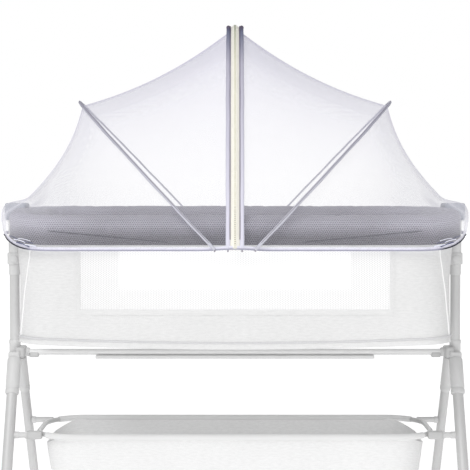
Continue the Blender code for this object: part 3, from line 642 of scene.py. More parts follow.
def mottle_effect():
    """Soft uneven tone: a factor near 1 that wanders by Amount."""
    entry, factor = new_effect("Mottle", {"Scale": 8.0, "Amount": 0.1}, "Factor")
    cloud = added(factor, "TexNoise", {"Detail": 4.0, "Vector": entry["Vector"], "Scale": entry["Scale"]})
    amount = calc("MULTIPLY", calc("SUBTRACT", cloud, 0.5), entry["Amount"])
    feed(factor, calc("MULTIPLY_ADD", amount, 2.0, 1.0))
    return factor.id_data


WEAVE = weave_effect()
TULLE = tulle_effect()
MOTTLE = mottle_effect()


# Materials

def new_material(name, roughness, colour):
    """A Principled material with its viewport colour, and its shader."""
    material = bpy.data.materials.new(name)
    material.use_nodes = True
    material.diffuse_color = (*colour, 1.0)
    shader = material.node_tree.nodes["Principled BSDF"]
    feed(shader.inputs["Roughness"], roughness)
    feed(shader.inputs["Base Color"], colour)
    return material, shader


def uneven(shader, scale, amount):
    """A tone that wanders over the piece."""
    return effect(MOTTLE, on_piece(shader), Scale=scale, Amount=amount)


def tinted(shader, colour, factor):
    """Base colour times a factor that changes over the surface."""
    tint = added(shader, "VectorMath", {"Scale": factor, 0: colour}, operation="SCALE")
    feed(shader.inputs["Base Color"], tint)


def bumped(shader, height, distance, strength=0.6):
    """Bump from a height."""
    bump = added(shader, "Bump", {"Strength": strength, "Distance": distance, "Height": height}, "Normal")
    feed(shader.inputs["Normal"], bump)


def net_material():
    """Sheer white net: hardly there face on, denser edge on and near the crown, and greyer there with painted shade.
    """
    material, shader = new_material("Net tulle", 0.85, (0.80, 0.78, 0.90))
    thread = effect(TULLE, on_cloth(shader), Holes=450.0)
    height = part_of(on_piece(shader), "Z")
    face_on = calc("SUBTRACT", 1.0, added(shader, "LayerWeight", {"Blend": 0.5}, "Facing"))
    rim = ranged(face_on, 0.06, 0.24, 0.42, 0.0)
    seen_through = calc("POWER", NET_OPEN_SHARE, calc("DIVIDE", 1.0, calc("MAXIMUM", face_on, 0.45)))
    # Painted shade: the net's colour greys towards the crown, where it also covers more.
    crown_cover_and_shade = ranged(height, 0.80, 1.08)
    # Painted shade: seen edge on, the net is given a greyer colour than face on.
    edge_on_shade = blended(crown_cover_and_shade, (0.66, 0.66, 0.76), (0.46, 0.46, 0.52))
    sheer = blended(crown_cover_and_shade, (0.95, 0.94, 1.0), (0.76, 0.74, 0.90))
    feed(shader.inputs["Base Color"], blended(ranged(seen_through, 0.45, 0.86), edge_on_shade, sheer))
    taut = ranged(height, 0.700, 0.750, 0.50, 1.0)
    cover = product(calc("SUBTRACT", 1.0, seen_through), taut, calc("MULTIPLY_ADD", crown_cover_and_shade, 0.58, 1.0))
    alpha = calc("MULTIPLY", calc("ADD", cover, rim), ranged(thread, 0.0, 1.0, 0.90, 1.22))
    feed(shader.inputs["Alpha"], calc("MINIMUM", alpha, 0.95))
    bumped(shader, thread, 0.0002, 0.3)
    return material


def plain_cloth(name, colour, threads, slubs=0.02):
    """Woven cloth in one colour, with its threads, the slubs in its yarn and a soft uneven tone."""
    material, shader = new_material(name, 0.9, colour)
    cloth = on_cloth(shader)
    weave = effect(WEAVE, cloth, Threads=threads)
    slub = effect(MOTTLE, drawn_out(cloth, (90.0, 330.0, 1.0)), Scale=1.0, Amount=slubs)
    tinted(shader, colour, product(uneven(shader, 7.0, 0.04), slub, ranged(weave, 0.0, 1.0, 0.90, 1.05)))
    bumped(shader, weave, 0.0003)
    feed(shader.inputs["Sheen Weight"], 0.15)
    return material


def hoop_cloth(name, foot, middle, crown, top, roughness=0.75):
    """Ribbon, cord or coil along a hoop: palest at its feet, darker at the crown and at its very top."""
    material, shader = new_material(name, roughness, middle)
    height = part_of(on_piece(shader), "Z")
    colour = blended(ranged(height, 0.72, 1.03), foot, middle)
    colour = blended(ranged(height, 1.03, 1.115), colour, crown)
    feed(shader.inputs["Base Color"], blended(ranged(height, 1.106, 1.121), colour, top))
    bumped(shader, effect(WEAVE, on_cloth(shader), Threads=1500.0), 0.0002)
    return material


def trim_cloth(name, colour):
    """Small sewn trim in one colour with a fine thread bump."""
    material, shader = new_material(name, 0.8, colour)
    threads = uneven(shader, 420.0, 0.10)
    tinted(shader, colour, threads)
    bumped(shader, threads, 0.0004)
    return material


def grained(name, colour, roughness, metallic=0.0, grain=900.0):
    """Moulded plastic, rubber or satin paint with a fine grain."""
    material, shader = new_material(name, roughness, colour)
    feed(shader.inputs["Metallic"], metallic)
    wear = uneven(shader, 18.0, 0.03)
    tinted(shader, colour, wear)
    feed(shader.inputs["Roughness"], calc("MULTIPLY", wear, roughness))
    bumped(shader, uneven(shader, grain, 0.5), 0.00006)
    return material


def rail_material():
    """Grey sports mesh over padding: round holes in rows, its tone uneven along the streaks of its knit. Painted shade
    darkens it under the roll's middle, and a painted highlight makes it paler towards its ends.
    """
    material, shader = new_material("Rail cloth", 0.85, (0.22, 0.22, 0.25))
    cloth, place = on_cloth(shader), on_piece(shader)
    hole = effect(TULLE, cloth, Holes=270.0)
    streak = effect(MOTTLE, drawn_out(cloth, (60.0, 3.0, 1.0)), Scale=3.0, Amount=0.14)
    # Painted shade: darker below the roll's middle and down the flap.
    shade_under = ranged(part_of(place, "Z"), 0.688, 0.712, 0.46, 1.0)
    # Painted highlight: paler towards the ends of the rail.
    painted_corner_highlight = ranged(calc("ABSOLUTE", part_of(place, "X")), 0.26, 0.40, 1.0, 1.35)
    holes = ranged(hole, 0.0, 0.7, 0.55, 1.30)
    tinted(shader, (0.300, 0.292, 0.338),
           product(uneven(shader, 7.0, 0.16), streak, holes, calc("MULTIPLY", shade_under, painted_corner_highlight)))
    bumped(shader, hole, 0.0008, 0.8)
    feed(shader.inputs["Sheen Weight"], 0.25)
    return material


def elastic_material():
    """Elastic cord in the hem: grey along the sides, painted nearly black at the corners for the shade under the hem
    where it goes round them.
    """
    material, shader = new_material("Hem elastic", 0.6, (0.33, 0.33, 0.42))
    # Painted shade: nearly black at the corners, beyond 0.395 m out along the crib.
    corner = ranged(calc("ABSOLUTE", part_of(on_piece(shader), "X")), 0.395, 0.410)
    feed(shader.inputs["Base Color"], blended(corner, (0.33, 0.33, 0.42), (0.012, 0.013, 0.03)))
    bumped(shader, uneven(shader, 600.0, 0.3), 0.0003)
    return material


def window_material():
    """Open mesh: thin threads with holes between them."""
    material, shader = new_material("Window mesh", 0.85, (0.97, 0.97, 0.97))
    thread = effect(TULLE, on_cloth(shader), Holes=320.0)
    feed(shader.inputs["Alpha"], ranged(thread, 0.0, 1.0, 0.55, 0.85))
    bumped(shader, thread, 0.0003)
    return material


VIOLET = (0.070, 0.045, 0.100)
NET = net_material()
HEM = plain_cloth("Hem band", (0.78, 0.77, 0.87), 900.0)
HEM_ELASTIC = elastic_material()
SLEEVE = hoop_cloth("Sleeve ribbon", (0.72, 0.71, 0.82), (0.46, 0.45, 0.54), (0.10, 0.12, 0.21), VIOLET)
# Painted shade: the leaning sleeves are the same ribbon, made darker for their shaded inner side.
SHADED_LEANING_SLEEVE = hoop_cloth("Slim sleeve ribbon in painted shade", (0.56, 0.56, 0.63), (0.34, 0.34, 0.41), (0.13, 0.14, 0.19), VIOLET)
# Dark colour of the real rods, also used for the cords that paint the sleeves' shadow lines.
ROD_AND_SHADOW_LINE = hoop_cloth("Hoop bead", (0.30, 0.28, 0.32), (0.26, 0.24, 0.32), (0.07, 0.06, 0.12), VIOLET, 0.6)
RAIL_SEAM = trim_cloth("Rail seam", (0.07, 0.07, 0.09))
# The net's white pleats, painted in shade and in highlight.
PLEATS = {"dark": trim_cloth("Pleat in shade", (0.10, 0.11, 0.20)),
          "pale": trim_cloth("Pleat in light", (0.86, 0.87, 0.97))}
ZIP_TAPE = plain_cloth("Zip tape cloth", (0.96, 0.94, 0.85), 1400.0)
ZIP_TEETH = hoop_cloth(
    "Zip coil", (0.84, 0.82, 0.70), (0.78, 0.77, 0.64), (0.50, 0.52, 0.42), (0.38, 0.40, 0.32), 0.5)
RAIL = rail_material()
TUB = plain_cloth("Tub linen", (0.735, 0.735, 0.735), 700.0, slubs=0.11)
BASKET_CLOTH = plain_cloth("Basket linen", (0.81, 0.81, 0.81), 700.0, slubs=0.10)
TRIM = trim_cloth("Tub piping", (0.88, 0.88, 0.88))
SEAM_SHADE = trim_cloth("Seam tape", (0.60, 0.60, 0.61))
WINDOW = window_material()
TUBE = grained("Leg tube", (0.55, 0.55, 0.55), 0.42, 0.10)
# Painted light: the crossbar and its strip are made paler than the leg tubes to lift the shade under the tub.
CROSSBAR_PAINTED_LIGHT = grained("Crossbar paint with painted light", (0.72, 0.72, 0.72), 0.5)
PLASTIC = grained("Joint plastic", (0.60, 0.60, 0.60), 0.5)
HUB_PLASTIC = grained("Hub plastic", (0.50, 0.50, 0.50), 0.55)
CAP_PLASTIC = grained("Cap plastic", (0.35, 0.37, 0.42), 0.5)
RUBBER = grained("Foot rubber", (0.36, 0.36, 0.37), 0.85, grain=500.0)


# The net

def net_panel(name, cloth, node, gathers=None):
    """A panel of net and its copy at the other end, as stretched sheets with their faces out of the dome."""
    right = subdivided(grid_over(name, cloth), 2)
    inside = Vector((0.10, 0.0, 0.70))
    if sum((face.center - inside).dot(face.normal) * face.area for face in right.data.polygons) < 0:
        right.data.flip_normals()
    if gathers:
        pushed_out(right, gathers)
    for made in at_both_ends(right, NET, "net_mesh", node, angle=60):
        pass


def upper_panels():
    """Gores between the upright and the leaning sleeves."""
    upright, leaning = seam_line(UPRIGHT_HOOP, PANEL_STEPS), seam_line(LEANING_HOOP, PANEL_STEPS)
    cloth = stretched(between(beside(upright, leaning), beside(leaning, upright), UPPER_ROWS), UPPER_PULL)
    net_panel("net_gore_right", cloth, "net_upper_panel")


def lower_panels():
    """Panels from the leaning sleeves over the rail to the hem, with soft gathers towards the hem."""
    edge, rows = skirt_lines()
    cloth = stretched(between(edge, rows[0], LOWER_ROWS), LOWER_PULL)
    cloth = np.concatenate([cloth, np.stack(rows[1:], axis=1)], axis=1)

    def gathers(place, flat):
        low = float(eased((GATHER_TOP - place.z) / 0.05))
        wave = math.sin(flat[1] * 2 * math.pi / GATHER_PITCH + 2.5 * wander(flat[1] * 9))
        return GATHER_DEPTH * low * (0.5 + 0.5 * wave)

    net_panel("net_skirt_right", cloth, "net_lower_panel", gathers)


def hem_line():
    """The hem all round: along both skirts, and across the middle between the leaning hoops' feet."""
    skirt = skirt_lines()[1][-1]
    depth = HOOP_HALF_DEPTH + 0.0030
    near = [(x, -depth, HOOP_FOOT_HEIGHT + rise) for x, rise in ((0.0, 0.0020), (0.018, 0.0015))]
    far = [(x, depth, HOOP_FOOT_HEIGHT + 0.0060) for x in (0.018, 0.0)]
    right = np.concatenate([near, skirt, far])
    left = right[1:-1][::-1] * (-1, 1, 1)
    return resampled(np.concatenate([right, left]), HEM_STEPS, closed=True)


def hem_band():
    """Doubled net of the hem all round, a little puckered by the elastic cord along its lower edge."""
    loop = hem_line()
    pitch = np.linalg.norm(loop[1] - loop[0])
    around = np.concatenate([loop[-2:-1], loop, loop[1:2]])
    outward = unit(np.cross(around[2:] - around[:-2], (0.0, 0.0, 1.0)))
    turns = [2 * math.pi * step / 10 for step in range(11)]
    rows = []
    for step, (spot, out) in enumerate(zip(loop, outward)):
        swell = 1.0 + 0.12 * math.sin(step * pitch * 2 * math.pi / HEM_GATHER + 3 * wander(step * 0.05))
        rows.append([spot + out * swell * HEM_BAND_THICKNESS / 2 * math.cos(turn)
                     + (0.0, 0.0, HEM_BAND_HEIGHT / 2 * (1 + math.sin(turn))) for turn in turns])
    rows[-1] = rows[0]
    finished(grid_over("net_hem", rows, wrap=True), HEM, "net_mesh")
    outside = [spot + (*(0.0022 * unit(spot[:2])), 0.0002) for spot in loop[:-1]]
    elastic = round_tube("hem_elastic", outside, HEM_ELASTIC_RADIUS, closed=True, resolution=1)
    finished(elastic, HEM_ELASTIC, "net_mesh")


# Pleats drawn up by the elastic at a near corner: the ends of each, the height that it bows up, its radius, tone (dark
# for painted shade, pale for a painted highlight)
CORNER_PLEATS = (
    ((0.4225, 0.6780), (0.3960, 0.6700), 0.0010, 0.0012, "dark"),
    ((0.4275, 0.6835), (0.4040, 0.6785), 0.0012, 0.0009, "pale"),
    ((0.4180, 0.6858), (0.3930, 0.6812), 0.0012, 0.0006, "pale"),
    ((0.4120, 0.6800), (0.3880, 0.6768), 0.0008, 0.0006, "dark"),
    ((0.4090, 0.6740), (0.3830, 0.6712), 0.0006, 0.0010, "pale"),
    ((0.4370, 0.6900), (0.4200, 0.6840), 0.0010, 0.0006, "dark"),
)


def corner_pleats():
    """Small pleats of the net over each near corner, where the elastic gathers it; the dark ones are painted shade and
    the pale ones painted highlights.
    """
    side, end = RAIL_HALF_LENGTH - RAIL_CORNER, RAIL_HALF_DEPTH - RAIL_CORNER
    for number, (start, stop, bow, radius, tone) in enumerate(CORNER_PLEATS):
        path = []
        for share in np.linspace(0.0, 1.0, 9):
            x, height = mixed(np.array(start), np.array(stop), share)
            height += bow * math.sin(math.pi * share)
            stand = 0.0062 + max(0.0, height - HOOP_FOOT_HEIGHT) * 0.12
            out_x = np.clip((x - side) / RAIL_CORNER, 0.0, 1.0)
            out_y = math.sqrt(1 - out_x**2)
            path.append((x + stand * out_x, -end - (RAIL_CORNER + stand) * out_y, height))
        at_both_ends(round_tube(f"net_pleat_{number + 1}_right", path, radius), PLEATS[tone], "net_mesh", angle=60)


def ribbon_radius(hoop, y):
    """Half the width of a sleeve at a place: the leaning ones are slimmer, most of all on the far side."""
    return SLEEVE_RADIUS if hoop is UPRIGHT_HOOP else float(np.interp(y, (-0.05, 0.12), LEANING_SLEEVE_RADII))


def sleeve(kind, hoop, ribbon):
    """Ribbon folded round a hoop's rod and sewn shut along its inner edge."""
    turns = [math.radians(turn) for turn in range(-150, 151, 25)]
    lines = zip(hoop_line(hoop), hoop_outward(hoop), hoop_sideways(hoop), seam_line(hoop))
    rows = []
    for number, (middle, out, side, fold) in enumerate(lines):
        radius = ribbon_radius(hoop, middle[1]) * (1.0 + 0.14 * wander(number * 0.55, hoop["lean"]))
        middle = middle + side * 0.0008 * wander(number * 0.30, 4.0, hoop["lean"])
        edge = radius * 0.12 * side
        flap = [fold - edge, fold + edge]
        row = [middle + radius * (math.cos(turn) * out + math.sin(turn) * side) for turn in turns]
        rows.append([flap[0], *row, flap[1], flap[0]])
    right = grid_over(f"sleeve_cloth_{kind}_right", rows, wrap=True)
    at_both_ends(right, ribbon, "sleeve_ribbon", f"sleeve_{kind}", angle=60)


def shadow_line_cord(kind, hoop, radius, around):
    """Thin dark cord along a sleeve, standing in for the rod that shows through the ribbon and for the painted shadow
    line of its sewn edge; around is its angle from straight out, towards the zip.
    """
    path = []
    for middle, out, side in zip(hoop_line(hoop), hoop_outward(hoop), hoop_sideways(hoop)):
        reach = ribbon_radius(hoop, middle[1]) + radius * 0.2
        path.append(middle + reach * (math.cos(around) * out - math.sin(around) * side))
    at_both_ends(round_tube(f"hoop_bead_{kind}_right", path[1:-1], radius), ROD_AND_SHADOW_LINE, "hoop_rod", angle=60)


def rods():
    """Sprung rods inside the sleeves, a little longer than them at each foot."""
    for kind, hoop in (("upright", UPRIGHT_HOOP), ("leaning", LEANING_HOOP)):
        line = hoop_line(hoop)
        longer = np.concatenate([line[:1] - (0, 0, ROD_FOOT), line, line[-1:] - (0, 0, ROD_FOOT)])
        right = round_tube(f"hoop_rod_{kind}_right", longer, ROD_RADIUS)
        at_both_ends(right, ROD_AND_SHADOW_LINE, "hoop_rod", f"rod_{kind}", angle=60)


def zip_tapes():
    """Two tapes that rise from the upright sleeves to the coil between them."""
    outer = hoop_line(UPRIGHT_HOOP)
    inner = hoop_line(UPRIGHT_HOOP, grow=ZIP_RISE)
    sewn = UPRIGHT_HOOP["near_x"] - SLEEVE_RADIUS - 0.0006
    outer[:, 0] = [sewn + 0.0009 * wander(number * 0.45, 9.0) for number in range(len(outer))]
    inner[:, 0] = ZIP_CHAIN_WIDTH / 2
    ripple = np.array([0.0, 0.0004, 0.0, -0.0003, 0.0, 0.0003, 0.0])
    cloth = between(inner, outer, len(ripple) - 1)
    cloth = cloth + hoop_outward(UPRIGHT_HOOP)[:, None, :] * ripple[None, :, None]
    right = walled(grid_over("zip_tape_cloth_right", cloth), TAPE_THICKNESS)
    at_both_ends(right, ZIP_TAPE, "zip_tape", "zip_tape", angle=60)


def zip_teeth():
    """Coil teeth across the middle, one small block each, on a core cord."""
    line = resampled(hoop_line(UPRIGHT_HOOP, grow=ZIP_RISE) * (0, 1, 1), ZIP_TEETH_COUNT)
    core = round_tube("zip_core", line, 0.0008, resolution=1)
    tangent = unit(np.gradient(line, axis=0))
    bpy.ops.mesh.primitive_cube_add(size=1.0)
    made = named("zip_coil")
    shape = bmesh.new()
    for spot, way in zip(line[1:-1], tangent[1:-1]):
        out = np.cross(way, (1.0, 0.0, 0.0))
        out = out if out[2] > 0 or abs(way[2]) > 0.5 else -out
        for corner in bmesh.ops.create_cube(shape, size=1.0)["verts"]:
            x, y, z = corner.co
            corner.co = spot + way * y * TOOTH_LENGTH + out * z * TOOTH_HEIGHT
            corner.co.x += x * ZIP_CHAIN_WIDTH * 1.25
    shape.to_mesh(made.data)
    shape.free()
    finished(made, ZIP_TEETH, "zip_tape", "zip_chain", angle=30)
    finished(core, ZIP_TEETH, "zip_tape")


# The rail

def rail_section():
    """Section of the roll with its flap, as (out, up) from the roll's middle, and how far out the flap starts."""
    radius = ROLL_RADIUS - ROLL_SLACK
    outer = ROLL_RADIUS - FLAP_INSET
    inner = outer - FLAP_THICKNESS
    bottom = -ROLL_RADIUS - FLAP_DROP
    roll = [(radius * math.cos(turn), radius * math.sin(turn)) for turn in map(math.radians, range(-18, 289, 9))]
    flap_in = [(inner, height) for height in np.linspace(FLAP_TOP - 0.003, bottom + 0.001, 7)]
    flap_out = [(outer, height) for height in np.linspace(bottom + 0.001, FLAP_TOP, 7)]
    return roll + flap_in + [((inner + outer) / 2, bottom)] + flap_out, inner


def rail_cover():
    """Padded roll all round with the flap under its outer side, creased at the corners and lumpy along the sides."""
    section, flap_start = rail_section()
    half = [rail_outline(rail_length() * step / (RAIL_STEPS / 2)) for step in range(RAIL_STEPS // 2 + 1)]
    ring = half + [(spot * (-1, 1), out * (-1, 1)) for spot, out in half[1:-1][::-1]]
    rows = []
    for number, (spot, out) in enumerate(ring + ring[:1]):
        around = number % RAIL_STEPS / RAIL_STEPS * 2 * math.pi
        place = Vector((math.cos(around), math.sin(around), 0))
        middle = spot - out * ROLL_RADIUS
        height = roll_centre(middle[1])
        bend = min(1.0, abs(out[0] * out[1]) * 2.4)
        row = []
        for far, high in section:
            turn = math.atan2(high, far)
            if high < FLAP_TOP and far > flap_start - 1e-6:
                swing = FLAP_SWING * wander(*(place * 13).xy, high * 30) * eased((-0.018 - high) / 0.02)
                row.append((*(middle + out * (far + swing - ROLL_SLACK)), height + high))
                continue
            lump = wander(*(place * 9).xy, turn * 0.9)
            crease = abs(noise.noise(place * 34 + Vector((turn * 0.7, 0, 5))))
            pinch = max(0.0, -math.cos(turn)) * bend * (0.5 + 0.5 * math.sin(around * 92))
            sink = LUMP_DEPTH * (1 + lump) + CREASE_DEPTH * max(0.0, 1 - crease / 0.16) + PINCH_DEPTH * pinch
            scale = 1 - sink / (ROLL_RADIUS - ROLL_SLACK)
            row.append((*(middle + out * far * scale), height + high * scale))
        rows.append(row + row[:1])
    made = finished(grid_over("rail_padding", rows, wrap=True), RAIL, "rail_cover", "rail_cover")


def rail_seam():
    """Seam that runs slantwise down the near side, from the roll's underside to the flap."""
    start_x, start_height = RAIL_SEAM_START
    path = []
    for x in np.linspace(start_x, RAIL_SEAM_END_X, 24):
        height = start_height - (start_x - x) * RAIL_SEAM_SLOPE
        below = roll_centre(-RAIL_HALF_DEPTH) - height
        bulge = math.sqrt(max(ROLL_RADIUS**2 - below**2, 0.0))
        depth = RAIL_HALF_DEPTH - ROLL_RADIUS + max(bulge, ROLL_RADIUS - FLAP_INSET)
        path.append((x, -depth + 0.0001, height))
    at_both_ends(round_tube("rail_seam_right", path, 0.0008, resolution=1), RAIL_SEAM, "rail_cover", angle=60)


# The tub

# Height, half length and corner of the tub at each of its levels
TUB_LEVELS = np.array((
    (TUB_BOTTOM_END, 0.4262, 0.0540),
    (0.500, 0.4268, 0.0620),
    (WINDOW_BOTTOM, 0.4275, 0.0780),
    (0.605, 0.4290, 0.0930),
    (WINDOW_TOP, 0.4360, 0.1090),
    (TUB_TOP, 0.4498, 0.1228),
))


def rounded_ring(half_x, half_y, corner, steps, stops=()):
    """Closed ring of plan points of a rounded rectangle; stops are extra places along its long sides."""
    turns = [math.pi / 2 * step / steps for step in range(steps + 1)]
    near = [(x, -half_y) for x in (0.0, *stops)]
    near += [(half_x - corner + corner * math.sin(turn), -half_y + corner - corner * math.cos(turn)) for turn in turns]
    end = [(half_x, y) for y in np.linspace(-(half_y - corner), half_y - corner, 9)[1:-1]]
    half = near + end + [(x, -y) for x, y in reversed(near)]
    return half + [(-x, y) for x, y in reversed(half[1:-1])]


def tub_level(height):
    """Half length and corner of the tub at a height."""
    heights, lengths, corners = TUB_LEVELS.T
    return np.interp(height, heights, lengths), np.interp(height, heights, corners)


def tub_half_depth(height):
    """The long walls lean in a little towards the bottom."""
    lean = 0.02 * (WINDOW_TOP - min(height, WINDOW_TOP))
    return RAIL_HALF_DEPTH - FLAP_INSET - FLAP_THICKNESS - 0.0003 - TUB_WALL / 2 - lean


def tub_bottom(x):
    """Height of the tub's lower edge, which sags between its ends."""
    return mixed(TUB_BOTTOM_MIDDLE, TUB_BOTTOM_END, (x / TUB_LEVELS[0][1]) ** 2)


def tub_point(x, y, level):
    """A point of the tub's wall: the upper levels follow the roll and the lower ones the sagging edge."""
    if level > WINDOW_TOP:
        top = roll_centre(y) - ROLL_RADIUS + 0.0012
        return x, y, mixed(WINDOW_TOP, top, (level - WINDOW_TOP) / (TUB_TOP - WINDOW_TOP))
    if level < WINDOW_BOTTOM:
        share = (WINDOW_BOTTOM - level) / (WINDOW_BOTTOM - TUB_BOTTOM_END)
        return x, y, mixed(WINDOW_BOTTOM, tub_bottom(x), share)
    return x, y, level


def fill_floor(shape):
    """Close the small hole in the middle of a cloth floor."""
    rim = [edge for edge in shape.edges if edge.is_boundary and max(v.co.xy.length for v in edge.verts) < 0.05]
    bmesh.ops.contextual_create(shape, geom=rim)


def in_window(face):
    middle = face.calc_center_median()
    half_length = WINDOW_HALF_LENGTHS["near" if middle.y < 0 else "far"]
    return abs(middle.y) > 0.25 and WINDOW_BOTTOM < middle.z < WINDOW_TOP and abs(middle.x) < half_length


def tub_slack(place, _):
    """Slight hollows in the tub's cloth, away from its edges and its windows."""
    by_window = WINDOW_BOTTOM - 0.01 < place.z < WINDOW_TOP + 0.01 and abs(place.y) > 0.25
    if not 0.486 <= place.z <= 0.69 or by_window and abs(place.x) < WINDOW_HALF_LENGTHS["near"] + 0.01:
        return 0.0
    return -0.0012 * (0.5 + 0.5 * wander(place.x * 14, place.y * 14, place.z * 5))


def tub():
    """Cloth tub: walls with a long window in the front and in the back, and the floor."""
    stops = sorted([*WINDOW_HALF_LENGTHS.values(), 0.288] + [0.03 * step for step in range(1, 9)])
    levels = [*np.linspace(TUB_TOP, WINDOW_TOP, 4), *np.linspace(WINDOW_TOP, WINDOW_BOTTOM, 10)[1:],
              *np.linspace(WINDOW_BOTTOM, TUB_BOTTOM_END, 8)[1:]]
    rows = []
    for level in levels:
        length, corner = tub_level(level)
        ring = rounded_ring(length, tub_half_depth(level), corner, 10, stops)
        rows.append([tub_point(x, y, level) for x, y in ring + ring[:1]])
    rim = rows[-1]
    for share in (0.985, 0.94, 0.80, 0.55, 0.28, 0.06):
        rows.append([(x * share, y * share, tub_bottom(x * share)) for x, y, _ in rim])
    made = grid_over("tub_cloth", rows, wrap=True)
    with shape_of(made) as shape:
        bmesh.ops.delete(shape, geom=[face for face in shape.faces if in_window(face)], context="FACES")
        fill_floor(shape)
    walled(pushed_out(made, tub_slack), TUB_WALL)
    finished(made, TUB, "tub_linen", "tub_side_near", "tub_side_far", "tub_end_right", "tub_end_left", "tub_floor",
             angle=40)


def tub_windows():
    """Mesh windows, each with a raised cloth strip round it on its outer side."""
    for name, side in SIDES:
        half_length = WINDOW_HALF_LENGTHS[name]
        rows = []
        for height in np.linspace(WINDOW_BOTTOM, WINDOW_TOP, 9):
            depth = side * (tub_half_depth(height) + TUB_WALL / 2 - 0.0002)
            rows.append([(x, depth, height) for x in np.linspace(-half_length, half_length, 25)])
        made = grid_over(f"window_net_{name}", rows)
        for corner in made.data.vertices:
            x, _, z = corner.co
            belly = (1 - (x / half_length) ** 2) * max(0.0, (z - WINDOW_BOTTOM) * (WINDOW_TOP - z))
            corner.co.y -= side * WINDOW_BELLY * belly
        finished(made, WINDOW, "window_mesh", f"window_mesh_{name}")
        window_binding(name, side, half_length)


def window_binding(name, side, half_length):
    """Cloth strip round a window, narrower over its top edge."""
    low, high = WINDOW_BOTTOM, WINDOW_TOP - 0.004
    edges = []
    for aside, below, above in ((-0.2, -0.2, -0.2), (0.8, 0.8, 0.2)):
        corners = ((-1, low, -below), (1, low, -below), (1, high, above), (-1, high, above))
        edges.append([(x * (half_length + aside * BINDING_WIDTH),
                       side * (tub_half_depth(z) + TUB_WALL / 2 + 0.0002),
                       z + grow * BINDING_WIDTH) for x, z, grow in corners])
    bpy.ops.mesh.primitive_grid_add(x_subdivisions=4, y_subdivisions=1, size=1.0)
    made = named(f"window_binding_{name}")
    layer = made.data.uv_layers[0]
    layer.name = "Cloth"
    for loop in made.data.loops:
        spot = made.data.vertices[loop.vertex_index].co
        layer.data[loop.index].uv = ((spot.x + 0.5) * BINDING_LENGTH, (spot.y + 0.5) * BINDING_WIDTH)
    for corner in made.data.vertices:
        corner.co = edges[corner.co.y > 0][round((corner.co.x + 0.5) * 4) % 4]
    welded(made)
    with editing(made):
        bpy.ops.mesh.subdivide(number_cuts=6)
    finished(walled(made, TAPE_THICKNESS), TUB, "tub_linen", angle=40)


def tub_trims():
    """Piping round the bottom edge and down the corners of the tub."""
    proud = TUB_WALL / 2
    length, corner = tub_level(TUB_BOTTOM_END)
    ring = rounded_ring(length + proud, tub_half_depth(TUB_BOTTOM_END) + proud, corner + proud, 12,
                        [0.06 * step for step in range(1, 6)])
    edge = [(x, y, tub_bottom(x) + 0.012) for x, y in ring]
    finished(round_tube("tub_piping_bottom", edge, PIPING_RADIUS, closed=True), SEAM_SHADE, "tub_linen")
    for side, sign in SIDES:
        path = []
        for height in np.linspace(0.690, 0.492, 16):
            length, corner = tub_level(height)
            turn = math.radians(np.interp(height, (0.475, 0.585, 0.657), (64, 54, 42)))
            x = length - corner + (corner + proud) * math.sin(turn)
            y = tub_half_depth(height) - corner + (corner + proud) * math.cos(turn)
            path.append((x, sign * y, height))
        right = round_tube(f"tub_piping_{side}_right", path, PIPING_RADIUS * 0.7)
        at_both_ends(right, TRIM, "tub_linen", angle=60)


# Rigid pieces of the crib. Each turned piece's profile is a row of radii with their shares of the way along it.

LEGS = {
    "near": {"top": (0.4690, -0.0165, 0.430), "foot": (0.4665, -0.2380, 0.0), "radius": 0.0112,
             "collar": 0.0145, "collar_end": 0.351},
    "far": {"top": (0.4615, 0.0165, 0.430), "foot": (0.4530, 0.2380, 0.0), "radius": 0.0098,
            "collar": 0.0118, "collar_end": 0.343},
}


def turned(name, start, end, profile, sides=32):
    """A turned piece on the axis from start to end, its circles extruded one by one."""
    start, end = Vector(start), Vector(end)
    length = (end - start).length
    bpy.ops.mesh.primitive_circle_add(vertices=sides, radius=profile[0][0], fill_type="NGON")
    made = named(name)
    with editing(made):
        for (before, low), (radius, high) in zip(profile, profile[1:]):
            bpy.ops.mesh.extrude_region_move(TRANSFORM_OT_translate={"value": (0, 0, (high - low) * length)})
            scale = radius / before
            bpy.ops.transform.resize(value=(scale, scale, 1.0), center_override=(0, 0, high * length))
        bpy.ops.mesh.select_all(action="SELECT")
        bpy.ops.mesh.normals_make_consistent(inside=False)
    made.rotation_mode = "QUATERNION"
    made.rotation_quaternion = (end - start).to_track_quat("Z", "Y")
    made.location = start
    return settled(made)


def even(radius, edge=0.002):
    """Profile of a plain tube, with a ring close to each end; edge is its share of the way."""
    return ((radius, 0.0), (radius, edge), (radius, 1 - edge), (radius, 1.0))


def rounded_block(name, low, high, round_off):
    """A box between two corners, its edges rounded."""
    low, high = Vector(low), Vector(high)
    bpy.ops.mesh.primitive_cube_add(size=1.0, location=(low + high) / 2, scale=high - low)
    made = settled(named(name))
    with editing(made):
        bpy.ops.mesh.bevel(offset=round_off, segments=4, profile=0.5, affect="EDGES")
    return made


def on_leg(leg, height):
    """Point on a leg's axis at a height."""
    top, foot = Vector(leg["top"]), Vector(leg["foot"])
    return foot + (top - foot) * ((height - foot.z) / (top.z - foot.z))


def legs():
    """Collar, tube and rubber shoe of each leaning leg."""
    for side, leg in LEGS.items():
        radius, wide = leg["radius"], leg["collar"]
        collar_low, shoe_top = on_leg(leg, leg["collar_end"]), on_leg(leg, SHOE_TOP)
        collar = turned(f"leg_socket_{side}_right", collar_low, on_leg(leg, HUB_LOW), (
            (radius + 0.0006, 0.0), (wide - 0.0006, 0.02), (wide, 0.05), (wide, 0.13), (wide - 0.0009, 0.15),
            (wide - 0.0009, 0.17), (wide, 0.19), (wide, 0.97), (wide - 0.001, 1.0)))
        at_both_ends(collar, PLASTIC, "joint_plastic", f"leg_collar_{side}")
        tube = turned(f"leg_tube_{side}_right", shoe_top, collar_low, even(radius))
        at_both_ends(tube, TUBE, "leg_tube", f"leg_{side}")
        shoe(side, leg, shoe_top, radius + 0.0042)


